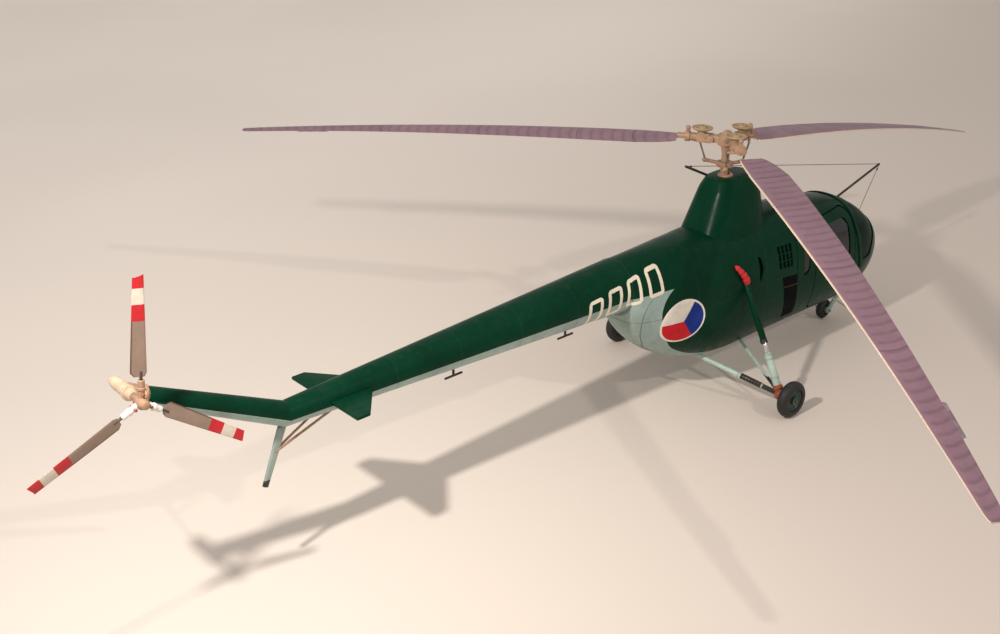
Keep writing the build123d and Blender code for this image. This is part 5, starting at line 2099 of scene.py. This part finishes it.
@dataclass(frozen=True)
class MainGear:
    """The shock struts and stays of the main wheels, with pistons, sleeves, clamps and joints."""

    knuckle: Triple = (-9.9, 40.2, 7.15)
    top: Triple = (-6.2, 17.5, 46.2)
    rear_root: Triple = (-22.0, 5.0, 17.0)
    front_root: Triple = (4.0, 8.0, 15.0)
    knee: float = 0.36
    barrel: float = 0.46

    def sleeves(self, line: Triple, finish: Finish, *rows: Triple) -> list[Piece]:
        """Sleeves between two shares of a line from the knuckle, on both sides.

        Args:
            line: The line's far end on the port side.
            finish: The sleeves' finish.
            rows: Start, end and radius of each sleeve.

        Returns:
            The sleeves.
        """
        made = []
        for side in (-1, 1):
            flip = np.array((1, side, 1))
            low, run = np.array(self.knuckle) * flip, (np.array(line) - np.array(self.knuckle)) * flip
            for start, end, radius in rows:
                made.append(dress(rod("sleeve", low + run * start, low + run * end, radius), finish))
        return made

    def rings(self) -> list[Piece]:
        """The collars at both ends of the pistons and the clamps on the legs.

        Returns:
            The rings.
        """
        knee, barrel = self.knee, self.barrel
        clamps = [(start, start + 0.02, 1.56) for start in (0.14, 0.3)]
        made = self.sleeves(self.top, BLACK_PAINT, (barrel - 0.012, barrel + 0.02, 1.42))
        return made + self.sleeves(self.top, PALE_PAINT, (knee - 0.02, knee + 0.005, 1.62), *clamps)

    def bands(self) -> list[Piece]:
        """The ribbed sleeve on each rear stay and the bands at its ends.

        Returns:
            The bands.
        """
        ribs = [(share, share + 0.008, 1.18) for share in np.linspace(0.22, 0.41, 7)]
        made = self.sleeves(self.rear_root, BLACK_PAINT, (0.20, 0.43, 1.12))
        made += self.sleeves(self.rear_root, LOUVRE_BROWN, *ribs)
        return made + self.sleeves(self.rear_root, PALE_PAINT, (0.45, 0.465, 1.2), (0.19, 0.205, 1.2))

    def joints(self) -> list[Piece]:
        """The balls where the stays meet the strut.

        Returns:
            The balls.
        """
        made = []
        for side in (-1, 1):
            low, top = (np.array(p) * (1, side, 1) for p in (self.knuckle, self.top))
            made.append(dress(ball("joint", low + (top - low) * 0.06, 1.9, 0.9, top - low), RUST_PAINT))
        return made

    def build(self) -> None:
        """Builds the pieces along the strut and both stays on either side."""
        knee, barrel = self.knee, self.barrel
        strut, stay, brace = self.top, self.rear_root, self.front_root
        barrels = self.sleeves(strut, GREEN_PAINT, (barrel, 1.0, 1.28))
        place(joined("strut_barrels", barrels), "airframe", "barrel_green", ("oleo_barrels",))
        for name, made, *nodes in (
            ("strut_legs", self.sleeves(strut, STAY_PAINT, (0.03, knee, 1.45)), "oleo_legs"),
            ("rear_stays", self.sleeves(stay, STAY_PAINT, (0.05, 1.0, 0.95)), "rear_gear_stays"),
            ("front_stays", self.sleeves(brace, STAY_PAINT, (0.05, 1.0, 0.65)), "front_gear_stays"),
            ("bright_pistons", self.sleeves(strut, STEEL, (knee, barrel, 0.92))),
            ("strut_rings", self.rings()),
            ("stay_bands", self.bands()),
            ("strut_joints", self.joints()),
        ):
            place(joined(name, made), "airframe", "strut_mint", tuple(nodes))


@dataclass(frozen=True)
class Aerials:
    """The slanting aerial masts and the taut wires between their tips and the nose."""

    rear_root: Triple = (0.0, 6.0, 80.4)
    rear: Triple = (-16.1, 6.0, 88.6)
    front_root: Triple = (76.0, 6.0, 50.0)
    front: Triple = (112.9, 6.0, 59.9)
    nose: Triple = (90.6, 0.0, 43.6)
    mast_r: float = 0.5
    radius: float = 0.13

    def build(self) -> None:
        """Builds the masts, stretches the wires and adds the small insulators at their ends."""
        ends = ((self.rear_root, self.rear), (self.front_root, self.front))
        masts = [dress(rod("mast", a, b, self.mast_r), BLACK_PAINT) for a, b in ends]
        place(joined("aerial_rods", masts), "airframe", "black", ("aerial_masts",))
        spans = ((self.rear, self.front), (self.front, self.nose))
        wires = [dress(rod("wire", a, b, self.radius, sides=8), WIRE) for a, b in spans]
        for a, b in spans:
            line = unit(np.array(b) - np.array(a))
            spot = np.array(a) + line * 2.5
            wires.append(dress(rod("insulator", spot, spot + line * 1.1, 0.32, sides=12), BLACK_PAINT))
        place(joined("aerial_wires", wires), "airframe", "black")


# ---------------------------------------------------------------- stage
@dataclass(frozen=True)
class Lamp:
    """A round area lamp aimed at the model."""

    name: str
    at: Triple
    size: float
    power: float
    colour: Triple

    def build(self) -> None:
        """Hangs the lamp and turns it to the model."""
        data = bpy.data.lights.new(self.name, "AREA")
        data.shape, data.size, data.energy, data.color = "DISK", self.size, self.power, self.colour
        lamp = new_object(self.name, data)
        lamp.location = Vector(self.at) * MM
        lamp.rotation_mode = "QUATERNION"
        lamp.rotation_quaternion = (Vector((0, 0, 0.03)) - lamp.location).to_track_quat("-Z", "Y")


LAMPS = (
    Lamp("key", (-313, -58, 263), 0.016, 0.83, (1.0, 0.94, 0.87)),
    Lamp("second", (-8, -830, 732), 0.035, 1.75, (1.0, 0.92, 0.84)),
)


@dataclass(frozen=True)
class Stage:
    """The pale surface under the model and the even light round it."""

    size: float = 4.0
    # near and far: floor colours of a painted light gradient, darker on the near side and paler further off.
    near: Triple = (0.73, 0.65, 0.575)
    far: Triple = (0.93, 0.845, 0.75)
    pink: Triple = (0.76, 0.68, 0.63)
    sky: Triple = (0.92, 0.86, 0.83)
    strength: float = 0.53
    # Strength of a painted glow that brightens the far floor: painted light.
    painted_glow: float = 0.17

    def material(self) -> Material:
        """Smooth pale card with a fine tooth, with painted light on it: it gets paler and glows a little
        further off.

        The painted light grows with u = 0.725 y - 0.2 x, in metres.

        Returns:
            The material.
        """
        _, made, tree = material_of("Pale card")
        place, x, y, _ = object_place(tree)
        off = (y * 0.725 - x * 0.2) * MM
        # Painted light gradient: the floor darker on the near side and paler further off.
        colour = mixed(off.ramp(-0.12, 0.20), self.near, self.far)
        colour = mixed(noise(tree, place, 3.0, 2.0).ramp(0.35, 0.65) * 0.25, colour, self.pink)
        shader = tree.nodes["Principled BSDF"]
        feed(tree, shader.inputs["Base Color"], colour)
        shader.inputs["Roughness"].default_value = 0.55
        shader.inputs["Specular IOR Level"].default_value = 0.2
        feed(tree, shader.inputs["Emission Color"], colour)
        rays = tree.nodes.new("ShaderNodeLightPath").outputs
        seen = Term(tree, rays["Is Camera Ray"])
        for name in ("Is Glossy Ray", "Is Transmission Ray"):
            seen = seen.either(Term(tree, rays[name]))
        # Painted glow that grows further off: painted light on the floor.
        feed(tree, shader.inputs["Emission Strength"], seen * off.ramp(0.04, 0.30) * self.painted_glow)
        feed(tree, shader.inputs["Normal"], effect(tree, Effect.GRAIN, Vector=place, Scale=300.0, Depth=0.1))
        return made

    def build(self) -> None:
        """Lays the floor, hangs the lamps and lights the surroundings."""
        half = self.size / 2
        mesh = bpy.data.meshes.new("floor")
        corners = [(-half, -half, 0), (half, -half, 0), (half, half, 0), (-half, half, 0)]
        mesh.from_pydata(corners, [], [(0, 1, 2, 3)])
        floor = dress(new_object("floor", mesh), self)
        for lamp in LAMPS:
            lamp.build()
        world = bpy.data.worlds.new("surroundings")
        bpy.context.scene.world = world
        world.use_nodes = True
        light = world.node_tree.nodes["Background"]
        light.inputs[0].default_value = coloured(self.sky)
        light.inputs[1].default_value = self.strength


@dataclass(frozen=True)
class Viewpoint:
    """The camera: place in millimetres, direction in degrees and focal length on a 36 mm frame."""

    at: Triple = (-363.87, -299.75, 240.19)
    azimuth: float = -39.81
    elevation: float = 24.847
    roll: float = -1.602
    lens: float = 45.82

    def build(self) -> None:
        """Creates the camera and makes it the scene's own."""
        data = bpy.data.cameras.new("camera")
        data.sensor_width, data.lens = 36.0, self.lens
        data.clip_start, data.clip_end = 0.01, 20.0
        camera = new_object("camera", data)
        a, e, r = (math.radians(v) for v in (self.azimuth, self.elevation, self.roll))
        back = np.array((math.sin(a) * math.cos(e), -math.cos(a) * math.cos(e), math.sin(e)))
        right = unit(np.cross((0, 0, 1), back))
        up = np.cross(back, right)
        across = math.cos(r) * right + math.sin(r) * up
        upright = -math.sin(r) * right + math.cos(r) * up
        pose = Matrix(np.stack([across, upright, back], axis=1).tolist()).to_4x4()
        pose.translation = Vector(self.at) * MM
        camera.matrix_world = pose
        bpy.context.scene.camera = camera


def main() -> None:
    """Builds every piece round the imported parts, then stage and camera."""
    logging.basicConfig(level=logging.INFO)
    for copied in COPIES:
        copied.build()
    Fairing().build()
    TailBoom().build()
    for blade in BLADES:
        blade.build()
    DragDampers().build()
    TailGearbox().build()
    TailRotor().build()
    for wheel in WHEELS:
        wheel.build()
    ExhaustCover().build()
    EngineGrilles().build()
    WindscreenHoop().build()
    CabinInside().build()
    MainGear().build()
    Aerials().build()
    Stage().build()
    Viewpoint().build()
    bpy.context.scene.view_settings.view_transform = "Standard"


if __name__ == "__main__":
    main()
